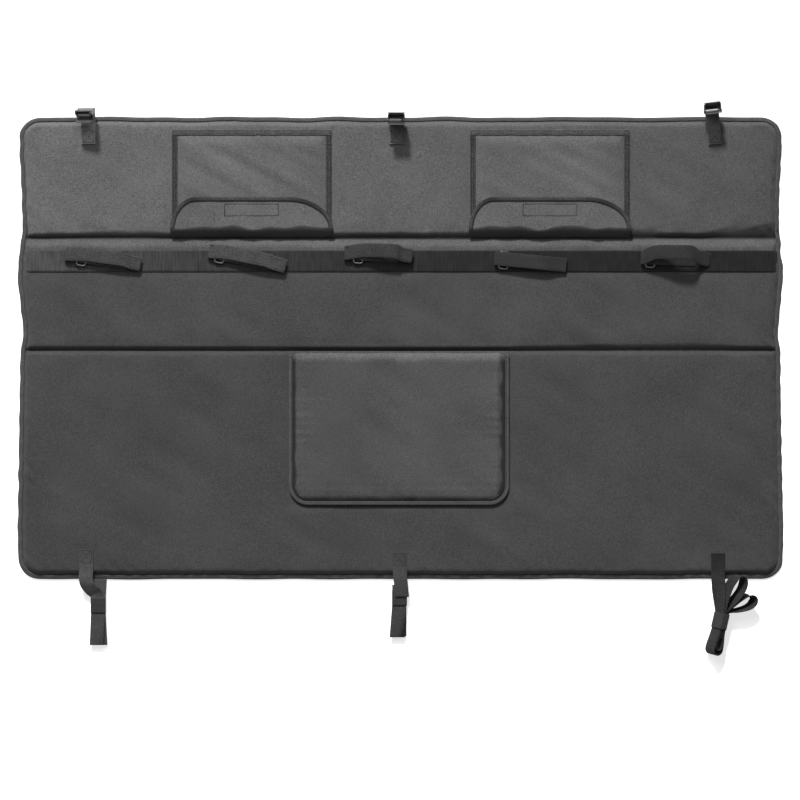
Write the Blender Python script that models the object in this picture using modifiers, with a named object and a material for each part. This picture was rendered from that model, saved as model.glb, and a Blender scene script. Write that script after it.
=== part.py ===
"""Tailgate bike pad: a padded cloth cover in three panels that drapes over a pickup tailgate.

The pad lies flat on its back. X runs along the tailgate, +Y points to the panel that hangs inside
the truck bed, and +Z points out of the padded face. The origin is on the back cloth, in the middle
of the panel that lies on top of the tailgate. Sizes are in metres and angles in degrees.
"""

from math import asin, atan2, cos, hypot, pi, radians, sin

import bmesh
import bpy
from mathutils import Matrix, Vector

# The pad and its three panels, from the one that hangs in the truck bed to the one outside
PAD_WIDTH = 1.372
INNER_PANEL = 0.218
TOP_PANEL = 0.2027
OUTER_PANEL = 0.413
CORNER_RADIUS = 0.037
CORNER_STEPS = 6

# Layers
GAP = 0.0003
CLOTH = 0.001
FOAM = 0.010
SEAM_SLOPE = 0.006
CREASE_HALF = 0.0015
EDGE_TAPE = 0.001
EDGE_TAPE_REACH = 0.008
WEBBING = 0.0014
WEBBING_WIDTH = 0.025

# Window behind the camera flap
WINDOW_WIDTH = 0.300
WINDOW_LENGTH = 0.170
WINDOW_CORNER = 0.012

# Camera flap, hinged at the fold between the top and outer panels
FLAP_X = -0.0032
FLAP_WIDTH = 0.396
FLAP_LENGTH = 0.276
FLAP_CORNER = 0.030
FLAP_FOAM = 0.006
FLAP_CLOTH = 0.0008
FLAP_HINGE = 0.0025
THIN_TAPE = 0.0006
FLAP_TAPE_REACH = 0.009
GRIP_STRIP = 0.0007
GRIP_FROM_EDGE = 0.018
GRIP_SIZE = (0.220, 0.022)

# Pockets on the inner panel, open towards the fold
POCKET_SPACING = 0.536
POCKET_WIDTH = 0.287
POCKET_TOP = 0.194
POCKET_MOUTH = 0.020
POCKET_CLOTH = 0.0008
POCKET_DEPTH = 0.0054
POCKET_HEM = 0.005
POCKET_SLOPE = 0.006
POCKET_FLAP_OVERLAP = 0.0025
POCKET_FLAP_LENGTH = 0.0695
POCKET_FLAP_ROUND_LEFT = (0.046, 0.058)
POCKET_FLAP_ROUND_RIGHT = (0.082, 0.056)
POCKET_FLAP_HINGE = 0.003
POCKET_FLAP_RISE = 0.010
POCKET_TAPE_REACH = 0.008
POCKET_GRIP = (0.097, 0.021)
POCKET_GRIP_FROM_FOLD = 0.0494
ROUND_STEPS = 7

# Webbing band that carries the bike straps
BAND_WIDTH = 0.038
BAND_FROM_FOLD = 0.0427

# Bike straps: where the fold is, how the strap lies, and how high it arches and its middle drifts
RING_LENGTH = 0.034
RING_WIDTH = 0.019
RING_WIRE = 0.0032
RING_BEND = 0.004
RING_TILT_RISE = 0.0016
ANCHOR_LENGTH = 0.018
LOOP_TAPER = 0.008
LOWER_LAYER_SHARE = 0.8
LOWER_LAYER_LEAST = 0.030
HALF_WIDTH = PAD_WIDTH / 2
STRAP_A, STRAP_B, STRAP_C = -0.87830 * HALF_WIDTH, -0.50219 * HALF_WIDTH, -0.14723 * HALF_WIDTH
STRAP_D, STRAP_E = 0.24636 * HALF_WIDTH, 0.62974 * HALF_WIDTH
BIKE_STRAPS = {
    "a": dict(at=(STRAP_A, 0.0722), turn=-8.1, length=0.1366, ring=0.030, arch=0.0262, end=0.0195),
    "b": dict(at=(STRAP_B, 0.0770), turn=-11.5, length=0.1405, ring=0.021, arch=0.0272, end=0.0205),
    "c": dict(at=(STRAP_C, 0.0735), turn=-2.9, length=0.1215, ring=0.025, arch=0.0345, end=0.0245, drift=0.007),
    "d": dict(at=(STRAP_D, 0.0637), turn=-5.6, length=0.1290, ring=0.0165, arch=0.0265, end=0.0195),
    "e": dict(at=(STRAP_E, 0.0655), turn=-2.2, length=0.1235, ring=0.0165, arch=0.0460, end=0.0154, drift=0.011),
}

# Cam buckles on the top straps
TOP_STRAP_TAIL = 0.044
STRAP_BEND = 0.007
BUCKLE_WIDTH = 0.031
BUCKLE_WALL = 0.0018
BUCKLE_BASE_START = 0.0052
BUCKLE_BASE_END = 0.030
BAR_RADIUS = 0.002
PIN_RADIUS = 0.0015
PIN_HEAD = 0.0024
PIN_HEAD_THICKNESS = 0.0008
PIN_POSITION = (0.013, 0.0082)
PIN_EYE = 0.0043
HUB_RADIUS = 0.0045
CAM_ANGLE = 20.0
CAM_TOOTH = 0.0007
LEVER_TILT = 33.0
LEVER_OFFSET = 0.0042
LEVER_PLATE = 0.0016
LEVER_LENGTH = 0.0175
LEVER_SHOULDER = 0.006
LEVER_CORNER = 0.0032
SPRING_WIRE = 0.0009
SPRING_RADIUS = 0.0026
SPRING_TURNS = 3.5
SPRING_ROOM = 0.0048
TOP_STRAPS = {
    "left": dict(x=0.1244 - HALF_WIDTH, bar_y=0.3300, pitch=98.0, lean=-8.0, turn=0.0),
    "middle": dict(x=-0.0079, bar_y=0.3145, pitch=72.0, lean=0.0, turn=0.0),
    "right": dict(x=HALF_WIDTH - 0.1208, bar_y=0.3280, pitch=60.0, lean=0.0, turn=6.5),
}

# Bottom straps, folded into bundles under an elastic keeper
BOTTOM_TAIL = 0.055
BUNDLE_PITCH = 0.0021
BUNDLE_LAYERS = 5
KEEPER = 0.0008
KEEPER_WIDTH = 0.028
BOTTOM_STRAPS = {
    "left": dict(x=0.1175 - HALF_WIDTH, shift=0.014, start=0.019, length=0.098, keeper=0.032),
    "middle": dict(x=-0.0022, shift=-0.002, start=0.019, length=0.082, keeper=0.028),
}
KEEPER_ROOM = 0.0009
RIGHT_STRAP_X = HALF_WIDTH - 0.1154
RIGHT_BUNDLE = (HALF_WIDTH - 0.1113, -0.5880)
RIGHT_TURN = -12.7
RIGHT_LEAN = 30.0
RIGHT_PITCH = 0.0028
RIGHT_OUTER_END = 0.0565
RIGHT_INNER_END = 0.0480
RIGHT_FREE_END = 0.0300
PETAL_START = 0.0035
RIGHT_PETALS = {
    "lower": dict(out=2, back=1, heading=52.0, length=0.0570, width=-0.020, rise=0.001),
    "upper": dict(out=-1, back=0, heading=16.5, length=0.0700, width=0.021, rise=0.0045),
}

# Levels and lines worked out from the sizes above
FOLD_INNER = TOP_PANEL / 2
FOLD_OUTER = -TOP_PANEL / 2
PAD_TOP = FOLD_INNER + INNER_PANEL
PAD_BOTTOM = FOLD_OUTER - OUTER_PANEL
TOP_STRAP_SEWN_Y = PAD_TOP - TOP_STRAP_TAIL
RIM = EDGE_TAPE + GAP
BACK_RIM_Z = EDGE_TAPE + GAP + CLOTH / 2
FACE_RIM_Z = BACK_RIM_Z + CLOTH + GAP
EDGE_TOP_Z = FACE_RIM_Z + CLOTH / 2 + GAP + EDGE_TAPE / 2
FOAM_Z = CLOTH + GAP
FACE_Z = FOAM_Z + FOAM + GAP + CLOTH / 2
FACE_TOP = FACE_Z + CLOTH / 2
SLOPE_START = EDGE_TAPE_REACH + RIM
SLOPE_END = SLOPE_START + SEAM_SLOPE
BAND_Y = FOLD_INNER - BAND_FROM_FOLD
BAND_TOP = FACE_TOP + GAP + WEBBING
LAYER_PITCH = WEBBING + GAP
RING_RADIUS = RING_WIRE / 2
GRIP_Z = FACE_TOP + GAP + GRIP_STRIP / 2
LINING_Z = FACE_TOP + 4 * GAP + 2 * GRIP_STRIP + THIN_TAPE / 2 + FLAP_CLOTH / 2
FLAP_RIM_Z = LINING_Z + FLAP_CLOTH + GAP
FLAP_CORE_Z = LINING_Z + FLAP_CLOTH / 2 + GAP
FLAP_FACE_Z = FLAP_CORE_Z + FLAP_FOAM + GAP + FLAP_CLOTH / 2
FLAP_HINGE_Y = FOLD_OUTER - FLAP_HINGE
FLAP_END_Y = FLAP_HINGE_Y - FLAP_LENGTH
POCKET_RIM_Z = FACE_TOP + GAP + POCKET_CLOTH / 2
POCKET_Z = FACE_TOP + POCKET_DEPTH + POCKET_CLOTH / 2
POCKET_FLAP_Z = POCKET_Z + POCKET_CLOTH + 3 * GAP + 2 * GRIP_STRIP + THIN_TAPE / 2
INNER_WIDTH = BUCKLE_WIDTH - 2 * BUCKLE_WALL
SOFT_STEPS = ((0.0, 0.0), (1 / 3, 7 / 27), (2 / 3, 20 / 27), (1.0, 1.0))

PARTS = "tailgate_bike_pad"
CUTTERS = "cutters"
COLOURS = {
    "cloth": ((0.075, 0.075, 0.076), 0.85, 0.0),
    "tape": ((0.045, 0.045, 0.046), 0.8, 0.0),
    "webbing": ((0.055, 0.055, 0.056), 0.75, 0.0),
    "foam": ((0.32, 0.32, 0.33), 0.95, 0.0),
    "grip": ((0.03, 0.03, 0.03), 0.9, 0.0),
    "metal": ((0.45, 0.45, 0.46), 0.35, 1.0),
}


def clear_scene():
    for item in list(bpy.data.objects):
        bpy.data.objects.remove(item, do_unlink=True)


def put_in(item, name):
    """Moves an object into the named collection and out of every other."""
    for holder in list(item.users_collection):
        holder.objects.unlink(item)
    bpy.data.collections[name].objects.link(item)
    return item


def new_object(name, data):
    return put_in(bpy.data.objects.new(name, data), PARTS)


def finish(item, kind):
    """Gives an object its own material and puts it in the pad's collection."""
    colour, roughness, metallic = COLOURS[kind]
    material = bpy.data.materials.new(item.name)
    material.use_nodes = True
    shader = material.node_tree.nodes["Principled BSDF"]
    shader.inputs["Base Color"].default_value = (*colour, 1.0)
    shader.inputs["Roughness"].default_value = roughness
    shader.inputs["Metallic"].default_value = metallic
    item.data.materials.clear()
    item.data.materials.append(material)
    put_in(item, PARTS)


def as_cutter(item):
    item.hide_render = True
    item.display_type = "WIRE"
    return put_in(item, CUTTERS)


def combine(item, other, operation):
    """Applies a Boolean with another object, which is then removed."""
    modifier = item.modifiers.new(operation.lower(), "BOOLEAN")
    modifier.operation = operation
    modifier.object = other
    graph = bpy.context.evaluated_depsgraph_get()
    mesh = bpy.data.meshes.new_from_object(item.evaluated_get(graph))
    item.modifiers.clear()
    item.data = mesh
    bpy.data.objects.remove(other, do_unlink=True)


def cut(item, cutter):
    modifier = item.modifiers.new("cut", "BOOLEAN")
    modifier.operation = "DIFFERENCE"
    modifier.object = cutter


def thicken(item, thickness):
    modifier = item.modifiers.new("thickness", "SOLIDIFY")
    modifier.thickness = thickness
    modifier.offset = 0.0
    modifier.use_even_offset = True


def shell(name, loops, thickness, closed=True, fill=True):
    """A sheet through loops of points, each joined to the next; the last loop is filled flat."""
    mesh = bpy.data.meshes.new(name)
    form = bmesh.new()
    rows = [[form.verts.new(point) for point in loop] for loop in loops]
    count = len(loops[0])
    for low, high in zip(rows, rows[1:]):
        for i in range(count if closed else count - 1):
            j = (i + 1) % count
            form.faces.new((low[i], low[j], high[j], high[i]))
    if fill:
        form.faces.new(rows[-1])
    bmesh.ops.recalc_face_normals(form, faces=form.faces)
    form.to_mesh(mesh)
    form.free()
    item = new_object(name, mesh)
    thicken(item, thickness)
    return item


def strip(name, stations, width, thickness):
    """A webbing strip: each station is its centre and the direction across it."""
    edges = [(centre - across * width / 2, centre + across * width / 2) for centre, across in stations]
    loops = [[pair[0] for pair in edges], [pair[1] for pair in edges]]
    return shell(name, loops, thickness, closed=False, fill=False)


def box(name, size, centre, rounding=0.0):
    bpy.ops.mesh.primitive_cube_add(size=1)
    item = bpy.context.object
    item.name = name
    item.data.transform(Matrix.Diagonal((*size, 1)))
    item.location = centre
    if rounding:
        modifier = item.modifiers.new("rounding", "BEVEL")
        modifier.width = rounding
        modifier.segments = 2
    return item


def arc(centre, radius, start, end, steps):
    """Points on an arc in a plane, as pairs, from one angle to the other in degrees."""
    found = []
    for i in range(steps + 1):
        angle = radians(start + (end - start) * i / steps)
        found.append((centre[0] + radius * cos(angle), centre[1] + radius * sin(angle)))
    return found


def rounded(left, right, low, high, lower_corner, upper_corner):
    """An anticlockwise outline from the lower left; a corner of zero radius is one point."""
    corners = (
        (right, low, -1, 1, lower_corner, -90),
        (right, high, -1, -1, upper_corner, 0),
        (left, high, 1, -1, upper_corner, 90),
        (left, low, 1, 1, lower_corner, 180),
    )
    found = []
    for x, y, inward_x, inward_y, radius, start in corners:
        if radius <= 0:
            found.append((x, y))
            continue
        centre = (x + inward_x * radius, y + inward_y * radius)
        found += arc(centre, radius, start, start + 90, CORNER_STEPS)
    return found


def at_height(outline, z):
    return [Vector((x, y, z)) for x, y in outline]


def pad_outline(inset):
    half = PAD_WIDTH / 2 - inset
    radius = CORNER_RADIUS - inset
    return rounded(-half, half, PAD_BOTTOM + inset, PAD_TOP - inset, radius, radius)


def panel_outline(panel, side, crease):
    """One panel's outline, in from the pad's edge by side and from its folds by crease."""
    half = PAD_WIDTH / 2 - side
    corner = CORNER_RADIUS - side
    if panel == "inner":
        return rounded(-half, half, FOLD_INNER + crease, PAD_TOP - side, 0, corner)
    if panel == "top":
        return rounded(-half, half, FOLD_OUTER + crease, FOLD_INNER - crease, 0, 0)
    return rounded(-half, half, PAD_BOTTOM + side, FOLD_OUTER - crease, corner, 0)


def smooth(points, per_span=4):
    """Points along a curve through every given point; each span bends as much as its own length allows."""
    points = [Vector(point) for point in points]
    ends = [points[0] * 2 - points[1], *points, points[-1] * 2 - points[-2]]
    found = []
    for before, start, end, after in zip(ends, ends[1:], ends[2:], ends[3:]):
        length = (end - start).length
        leave = (end - before).normalized() * length
        arrive = (after - start).normalized() * length
        for step in range(per_span):
            t = step / per_span
            rise = t * t * (3 - 2 * t)
            found.append(start.lerp(end, rise) + leave * t * (1 - t) ** 2 - arrive * t * t * (1 - t))
    found.append(points[-1])
    return found


def window_cutter():
    """The opening for the tailgate handle and camera, cut through every layer of the outer panel."""
    centre_y = (FLAP_HINGE_Y + FLAP_END_Y) / 2
    item = box("window_cutter", (WINDOW_WIDTH, WINDOW_LENGTH, 0.06), (FLAP_X, centre_y, 0.0))
    upright = item.data.attributes.new("bevel_weight_edge", "FLOAT", "EDGE")
    for edge in item.data.edges:
        low, high = (item.data.vertices[i].co for i in edge.vertices)
        upright.data[edge.index].value = 1.0 if abs(low.z - high.z) > 0.01 else 0.0
    modifier = item.modifiers.new("corners", "BEVEL")
    modifier.limit_method = "WEIGHT"
    modifier.width = WINDOW_CORNER
    modifier.segments = 3
    return as_cutter(item)


def pad_layers(window):
    """Back cloth, three foam slabs, the face cloth that is tucked at both folds, and the edge tape."""
    tucked = SLOPE_START + CLOTH
    back = shell(
        "back_cloth",
        [
            at_height(pad_outline(RIM), BACK_RIM_Z),
            at_height(pad_outline(EDGE_TAPE_REACH + 2 * GAP), BACK_RIM_Z),
            at_height(pad_outline(tucked), CLOTH / 2),
        ],
        CLOTH,
    )
    cut(back, window)
    finish(back, "cloth")

    for panel in ("inner", "top", "outer"):
        outline = panel_outline(panel, SLOPE_END + CLOTH, CREASE_HALF + SEAM_SLOPE + CLOTH)
        foam = shell(f"foam_{panel}", [at_height(outline, FOAM_Z + FOAM / 2)], FOAM)
        if panel == "outer":
            cut(foam, window)
        finish(foam, "foam")

    form = bmesh.new()
    for panel in ("inner", "top", "outer"):
        loops = [at_height(panel_outline(panel, RIM, 0.0), FACE_RIM_Z)]
        for share, rise in SOFT_STEPS:
            side = SLOPE_START + share * SEAM_SLOPE
            crease = CREASE_HALF + share * SEAM_SLOPE
            z = FACE_RIM_Z + rise * (FACE_Z - FACE_RIM_Z)
            loops.append(at_height(panel_outline(panel, side, crease), z))
        rows = [[form.verts.new(point) for point in loop] for loop in loops]
        for low, high in zip(rows, rows[1:]):
            for i in range(len(low)):
                j = (i + 1) % len(low)
                form.faces.new((low[i], low[j], high[j], high[i]))
        form.faces.new(rows[-1])
    bmesh.ops.remove_doubles(form, verts=form.verts, dist=1e-5)
    bmesh.ops.recalc_face_normals(form, faces=form.faces)
    mesh = bpy.data.meshes.new("face_cloth")
    form.to_mesh(mesh)
    form.free()
    face = new_object("face_cloth", mesh)
    thicken(face, CLOTH)
    cut(face, window)
    finish(face, "cloth")

    nose = EDGE_TAPE / 2
    section = (
        (EDGE_TAPE_REACH, EDGE_TOP_Z),
        (RIM, EDGE_TOP_Z),
        (nose, EDGE_TOP_Z - 0.0008),
        (nose, EDGE_TAPE / 2 + 0.0008),
        (RIM, EDGE_TAPE / 2),
        (EDGE_TAPE_REACH, EDGE_TAPE / 2),
    )
    loops = [at_height(pad_outline(inset), z) for inset, z in section]
    finish(shell("edge_tape", loops, EDGE_TAPE, fill=False), "tape")


def camera_flap():
    """The padded flap over the window: lining, foam, face, edge tape, and its grip strips."""
    left = FLAP_X - FLAP_WIDTH / 2
    right = FLAP_X + FLAP_WIDTH / 2
    rim = THIN_TAPE + GAP

    slope = FLAP_TAPE_REACH + rim
    shoulder_y = FLAP_HINGE_Y - slope - SEAM_SLOPE - CLOTH

    def outline(inset, hinge):
        """The flap's outline, with a point on each side where it starts to dip to the fold."""
        radius = FLAP_CORNER - inset
        low, high = FLAP_END_Y + inset, FLAP_HINGE_Y - hinge
        found = rounded(left + inset, right - inset, low, high, radius, 0)
        found.insert(CORNER_STEPS + 1, (right - inset, shoulder_y))
        found.insert(CORNER_STEPS + 4, (left + inset, shoulder_y))
        return found

    def flat_outline(inset):
        found = outline(inset, 0.0)
        return found[: CORNER_STEPS + 2] + found[CORNER_STEPS + 4 :]

    lining = shell("camera_flap_lining", [at_height(flat_outline(rim), LINING_Z)], FLAP_CLOTH)
    finish(lining, "cloth")
    core = flat_outline(slope + SEAM_SLOPE + FLAP_CLOTH)
    foam = shell("camera_flap_foam", [at_height(core, FLAP_CORE_Z + FLAP_FOAM / 2)], FLAP_FOAM)
    finish(foam, "foam")

    hinge = at_height(outline(rim, 0.0), FLAP_RIM_Z)
    for point in hinge:
        if point.y > FLAP_HINGE_Y - CLOTH:
            point.z = FACE_Z
    loops = [hinge, at_height(outline(slope, slope - CLOTH), FLAP_RIM_Z)]
    for share, rise in SOFT_STEPS[1:]:
        z = FLAP_RIM_Z + rise * (FLAP_FACE_Z - FLAP_RIM_Z)
        loops.append(at_height(outline(slope + share * SEAM_SLOPE, slope - CLOTH + share * SEAM_SLOPE), z))
    finish(shell("camera_flap_face", loops, FLAP_CLOTH), "cloth")

    def open_outline(inset):
        """The outline down one side, along the free edge and up the other, from below the hinge."""
        full = flat_outline(inset)
        return full[CORNER_STEPS + 2 :] + full[: CORNER_STEPS + 2]

    half = FLAP_CLOTH / 2 + GAP + THIN_TAPE / 2
    nose = THIN_TAPE / 2
    section = (
        (FLAP_TAPE_REACH, FLAP_RIM_Z + half),
        (rim, FLAP_RIM_Z + half),
        (nose, FLAP_RIM_Z + half - 2 * GAP),
        (nose, LINING_Z - half + 2 * GAP),
        (rim, LINING_Z - half),
        (FLAP_TAPE_REACH, LINING_Z - half),
    )
    loops = [at_height(open_outline(inset), z) for inset, z in section]
    tape = shell("camera_flap_tape", loops, THIN_TAPE, closed=False, fill=False)
    finish(tape, "tape")

    grip_y = FLAP_END_Y + GRIP_FROM_EDGE + GRIP_SIZE[1] / 2
    loop_strip = box("camera_flap_loop_strip", (*GRIP_SIZE, GRIP_STRIP), (FLAP_X, grip_y, GRIP_Z))
    finish(loop_strip, "grip")
    hook_z = LINING_Z - FLAP_CLOTH / 2 - GAP - GRIP_STRIP / 2
    hook_strip = box("camera_flap_hook_strip", (*GRIP_SIZE, GRIP_STRIP), (FLAP_X, grip_y, hook_z))
    finish(hook_strip, "grip")


def pocket(side, centre):
    """One pocket: its cloth bulges off the panel, and a bound flap hangs over its mouth."""
    left = centre - POCKET_WIDTH / 2
    right = centre + POCKET_WIDTH / 2
    mouth = FOLD_INNER + POCKET_MOUTH
    top = FOLD_INNER + POCKET_TOP

    def round_three_sides(inset):
        near, far, end = left + inset, right - inset, top - inset
        return [(near, mouth), (near, end), (far, end), (far, mouth)]

    loops = [at_height(round_three_sides(0.0), POCKET_RIM_Z)]
    for share, rise in SOFT_STEPS:
        z = POCKET_RIM_Z + rise * (POCKET_Z - POCKET_RIM_Z)
        loops.append(at_height(round_three_sides(POCKET_HEM + share * POCKET_SLOPE), z))
    finish(shell(f"pocket_{side}_body", loops, POCKET_CLOTH, closed=False), "cloth")

    flap_left = left - POCKET_FLAP_OVERLAP
    flap_right = right + POCKET_FLAP_OVERLAP
    flap_low = FOLD_INNER + POCKET_FLAP_HINGE
    flap_top = flap_low + POCKET_FLAP_LENGTH

    def flap_height(y):
        share = min(1.0, (y - flap_low) / POCKET_FLAP_RISE)
        return FACE_Z + (POCKET_FLAP_Z - FACE_Z) * sin(share * pi / 2)

    def flap_edge(inset, side_ys):
        """Up the left side, along the free edge and down the right, with the corners as ellipses."""
        found = [(flap_left + inset, y) for y in side_ys]
        for i in range(ROUND_STEPS + 1):
            angle = pi / 2 * i / ROUND_STEPS
            across, along = POCKET_FLAP_ROUND_LEFT
            x = flap_left + across - (across - inset) * cos(angle)
            found.append((x, flap_top - along + (along - inset) * sin(angle)))
        for i in range(ROUND_STEPS + 1):
            angle = pi / 2 * i / ROUND_STEPS
            across, along = POCKET_FLAP_ROUND_RIGHT
            x = flap_right - across + (across - inset) * sin(angle)
            found.append((x, flap_top - along + (along - inset) * cos(angle)))
        return found + [(flap_right - inset, y) for y in reversed(side_ys)]

    rising = [flap_low + POCKET_FLAP_RISE * i / 3 for i in range(4)]
    rim = THIN_TAPE + GAP
    edge = flap_edge(rim, rising)
    half = len(edge) // 2
    rows = [[Vector((x, y, flap_height(y))) for x, y in edge[:half]]]
    rows.append([Vector((x, y, flap_height(y))) for x, y in reversed(edge[half:])])
    finish(shell(f"pocket_{side}_flap", rows, POCKET_CLOTH, closed=False, fill=False), "cloth")

    height = POCKET_CLOTH / 2 + GAP + THIN_TAPE / 2
    nose = THIN_TAPE / 2
    section = (
        (POCKET_TAPE_REACH, height),
        (rim, height),
        (nose, height - 2 * GAP),
        (nose, 2 * GAP - height),
        (rim, -height),
        (POCKET_TAPE_REACH, -height),
    )
    level = rising[-1:]
    loops = [at_height(flap_edge(inset, level), POCKET_FLAP_Z + rise) for inset, rise in section]
    finish(shell(f"pocket_{side}_tape", loops, THIN_TAPE, closed=False, fill=False), "tape")

    grip_y = FOLD_INNER + POCKET_GRIP_FROM_FOLD
    loop_z = POCKET_Z + POCKET_CLOTH / 2 + GAP + GRIP_STRIP / 2
    hook_z = POCKET_FLAP_Z - POCKET_CLOTH / 2 - GAP - GRIP_STRIP / 2
    for kind, z in (("loop", loop_z), ("hook", hook_z)):
        grip = box(f"pocket_{side}_{kind}_strip", (*POCKET_GRIP, GRIP_STRIP), (centre, grip_y, z))
        finish(grip, "grip")


def strap_band():
    """Webbing sewn across the top panel. Its ends follow the slope down to the edge tape."""
    stand_off = CLOTH / 2 + GAP + WEBBING / 2
    height = FACE_Z - FACE_RIM_Z
    profile = [(SLOPE_START + share * SEAM_SLOPE, FACE_RIM_Z + rise * height) for share, rise in SOFT_STEPS]
    profile.append((profile[-1][0] + BAND_WIDTH, FACE_Z))
    raised = []
    for before, here, after in zip(profile, profile[1:], profile[2:]):
        slopes = [atan2(b[1] - a[1], b[0] - a[0]) for a, b in ((before, here), (here, after))]
        angle = sum(slopes) / 2
        reach = stand_off / cos((slopes[0] - slopes[1]) / 2)
        raised.append((here[0] - sin(angle) * reach, here[1] + cos(angle) * reach))
    raised.append((profile[-1][0], FACE_Z + stand_off))
    half = PAD_WIDTH / 2
    left = [Vector((inset - half, BAND_Y, z)) for inset, z in raised]
    right = [Vector((half - inset, BAND_Y, z)) for inset, z in reversed(raised)]
    stations = [(centre, Vector((0, 1, 0))) for centre in left + right]
    finish(strip("strap_band", stations, BAND_WIDTH, WEBBING), "webbing")


def loop_round_bar(tail, taper, radius, heading):
    """Turns a doubled strap's middle line into the path out, round the bar and back.

    tail holds pairs of a point and its normal; the bar is taper beyond the last one, along heading.
    """
    spread = LAYER_PITCH / 2
    last, normal = tail[-1]
    bar = last + heading * taper
    reach = hypot(taper, spread)
    lift = asin(radius / reach) - atan2(spread, taper)
    out = [point - side * spread for point, side in tail]
    back = [point + side * spread for point, side in reversed(tail)]
    swing = pi / 2 + lift
    turn = []
    for i in range(9):
        angle = -swing + 2 * swing * i / 8
        turn.append(bar + (heading * cos(angle) + normal * sin(angle)) * radius)
    return out + turn + back


def bike_strap(name, lay):
    """A ring tied down by a webbing loop, and the strap that runs through it and folds back over it."""
    place = Matrix.Translation((*lay["at"], 0.0)) @ Matrix.Rotation(radians(lay["turn"]), 4, "Z")
    across = place.to_3x3() @ Vector((0, 1, 0))
    up = Vector((0, 0, 1))
    layer_z = BAND_TOP + GAP + WEBBING / 2
    bar_x = lay["ring"] + RING_WIDTH / 2 - RING_RADIUS
    free_bar_x = lay["ring"] - RING_WIDTH / 2 + RING_RADIUS
    loop_radius = RING_RADIUS + GAP + WEBBING / 2
    bar_z = BAND_TOP + GAP + WEBBING / 2 + loop_radius
    free_bar_z = bar_z + RING_TILT_RISE

    anchor_z = layer_z + LAYER_PITCH / 2
    first = Vector((bar_x + LOOP_TAPER + ANCHOR_LENGTH, 0, anchor_z))
    second = Vector((bar_x + LOOP_TAPER + 0.003, 0, anchor_z))
    heading = (Vector((bar_x, 0, bar_z)) - second).normalized()
    third = Vector((bar_x, 0, bar_z)) - heading * LOOP_TAPER
    leaned = Vector((heading.z, 0, -heading.x))
    path = loop_round_bar([(first, up), (second, up), (third, leaned)], LOOP_TAPER, loop_radius, heading)
    stations = [(place @ point, across) for point in path]
    finish(strip(f"bike_strap_{name}_anchor", stations, WEBBING_WIDTH, WEBBING), "webbing")

    half = RING_LENGTH / 2 - RING_RADIUS
    outline = rounded_ring(free_bar_x, bar_x, -half, half)
    rise = (free_bar_z - bar_z) / (free_bar_x - bar_x)
    points = [place @ Vector((x, y, bar_z + (x - bar_x) * rise)) for x, y in outline]
    finish(wire(f"bike_strap_{name}_ring", points, RING_RADIUS, cyclic=True), "metal")

    over_anchor = layer_z + 2 * LAYER_PITCH + GAP
    over_bar = bar_z + loop_radius + WEBBING / 2 + GAP + WEBBING / 2
    under_free = free_bar_z - RING_RADIUS - GAP - WEBBING / 2 - GAP
    over_free = free_bar_z + RING_RADIUS + 2 * GAP + WEBBING / 2
    fold = (over_free - under_free) / 2
    length = lay["length"]
    tail = bar_x + LOOP_TAPER + ANCHOR_LENGTH
    drift = lay.get("drift", 0.0)
    top_over_bar = over_bar + LAYER_PITCH + GAP
    middle = (bar_x + length) / 2
    route = [
        (max(tail + LOWER_LAYER_LEAST, length * LOWER_LAYER_SHARE), 0, layer_z),
        (tail + 0.018, 0, layer_z),
        (tail + 0.012, 0, layer_z),
        (tail + 0.001, 0, over_anchor + GAP),
        (bar_x + LOOP_TAPER, 0, over_anchor + 3 * GAP),
        (bar_x + 0.001, 0, over_bar + GAP),
        (free_bar_x, 0, under_free),
        (fold + WEBBING, 0, under_free + GAP),
        (fold * 0.3, 0, under_free + fold * 0.35),
        (0.0, 0, under_free + fold),
        (fold * 0.35, 0, under_free + fold * 1.75),
        (fold + WEBBING, 0, over_free),
        (bar_x, drift * 0.4, max(top_over_bar, lay["arch"] * 0.75)),
        (middle * 0.8 + bar_x * 0.2, drift, lay["arch"]),
        (middle * 1.2, drift, lay["arch"]),
        (length - 0.018, drift * 0.3, (lay["end"] * 2 + lay["arch"]) / 3),
        (length, 0, lay["end"]),
    ]
    stations = [(place @ point, across) for point in smooth(route, 2)]
    finish(strip(f"bike_strap_{name}_webbing", stations, WEBBING_WIDTH, WEBBING), "webbing")


def rounded_ring(left, right, low, high):
    """A small rounded rectangle for wire, with three points to each corner."""
    found = []
    for x, y, sx, sy, start in (
        (right, low, -1, 1, -90),
        (right, high, -1, -1, 0),
        (left, high, 1, -1, 90),
        (left, low, 1, 1, 180),
    ):
        found += arc((x + sx * RING_BEND, y + sy * RING_BEND), RING_BEND, start, start + 90, 3)
    return found


def wire(name, points, radius, cyclic=False):
    curve = bpy.data.curves.new(name, "CURVE")
    curve.dimensions = "3D"
    curve.bevel_depth = radius
    curve.bevel_resolution = 2
    curve.use_fill_caps = not cyclic
    line = curve.splines.new("POLY")
    line.points.add(len(points) - 1)
    for target, point in zip(line.points, points):
        target.co = (*point, 1.0)
    line.use_cyclic_u = cyclic
    return new_object(name, curve)


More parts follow.
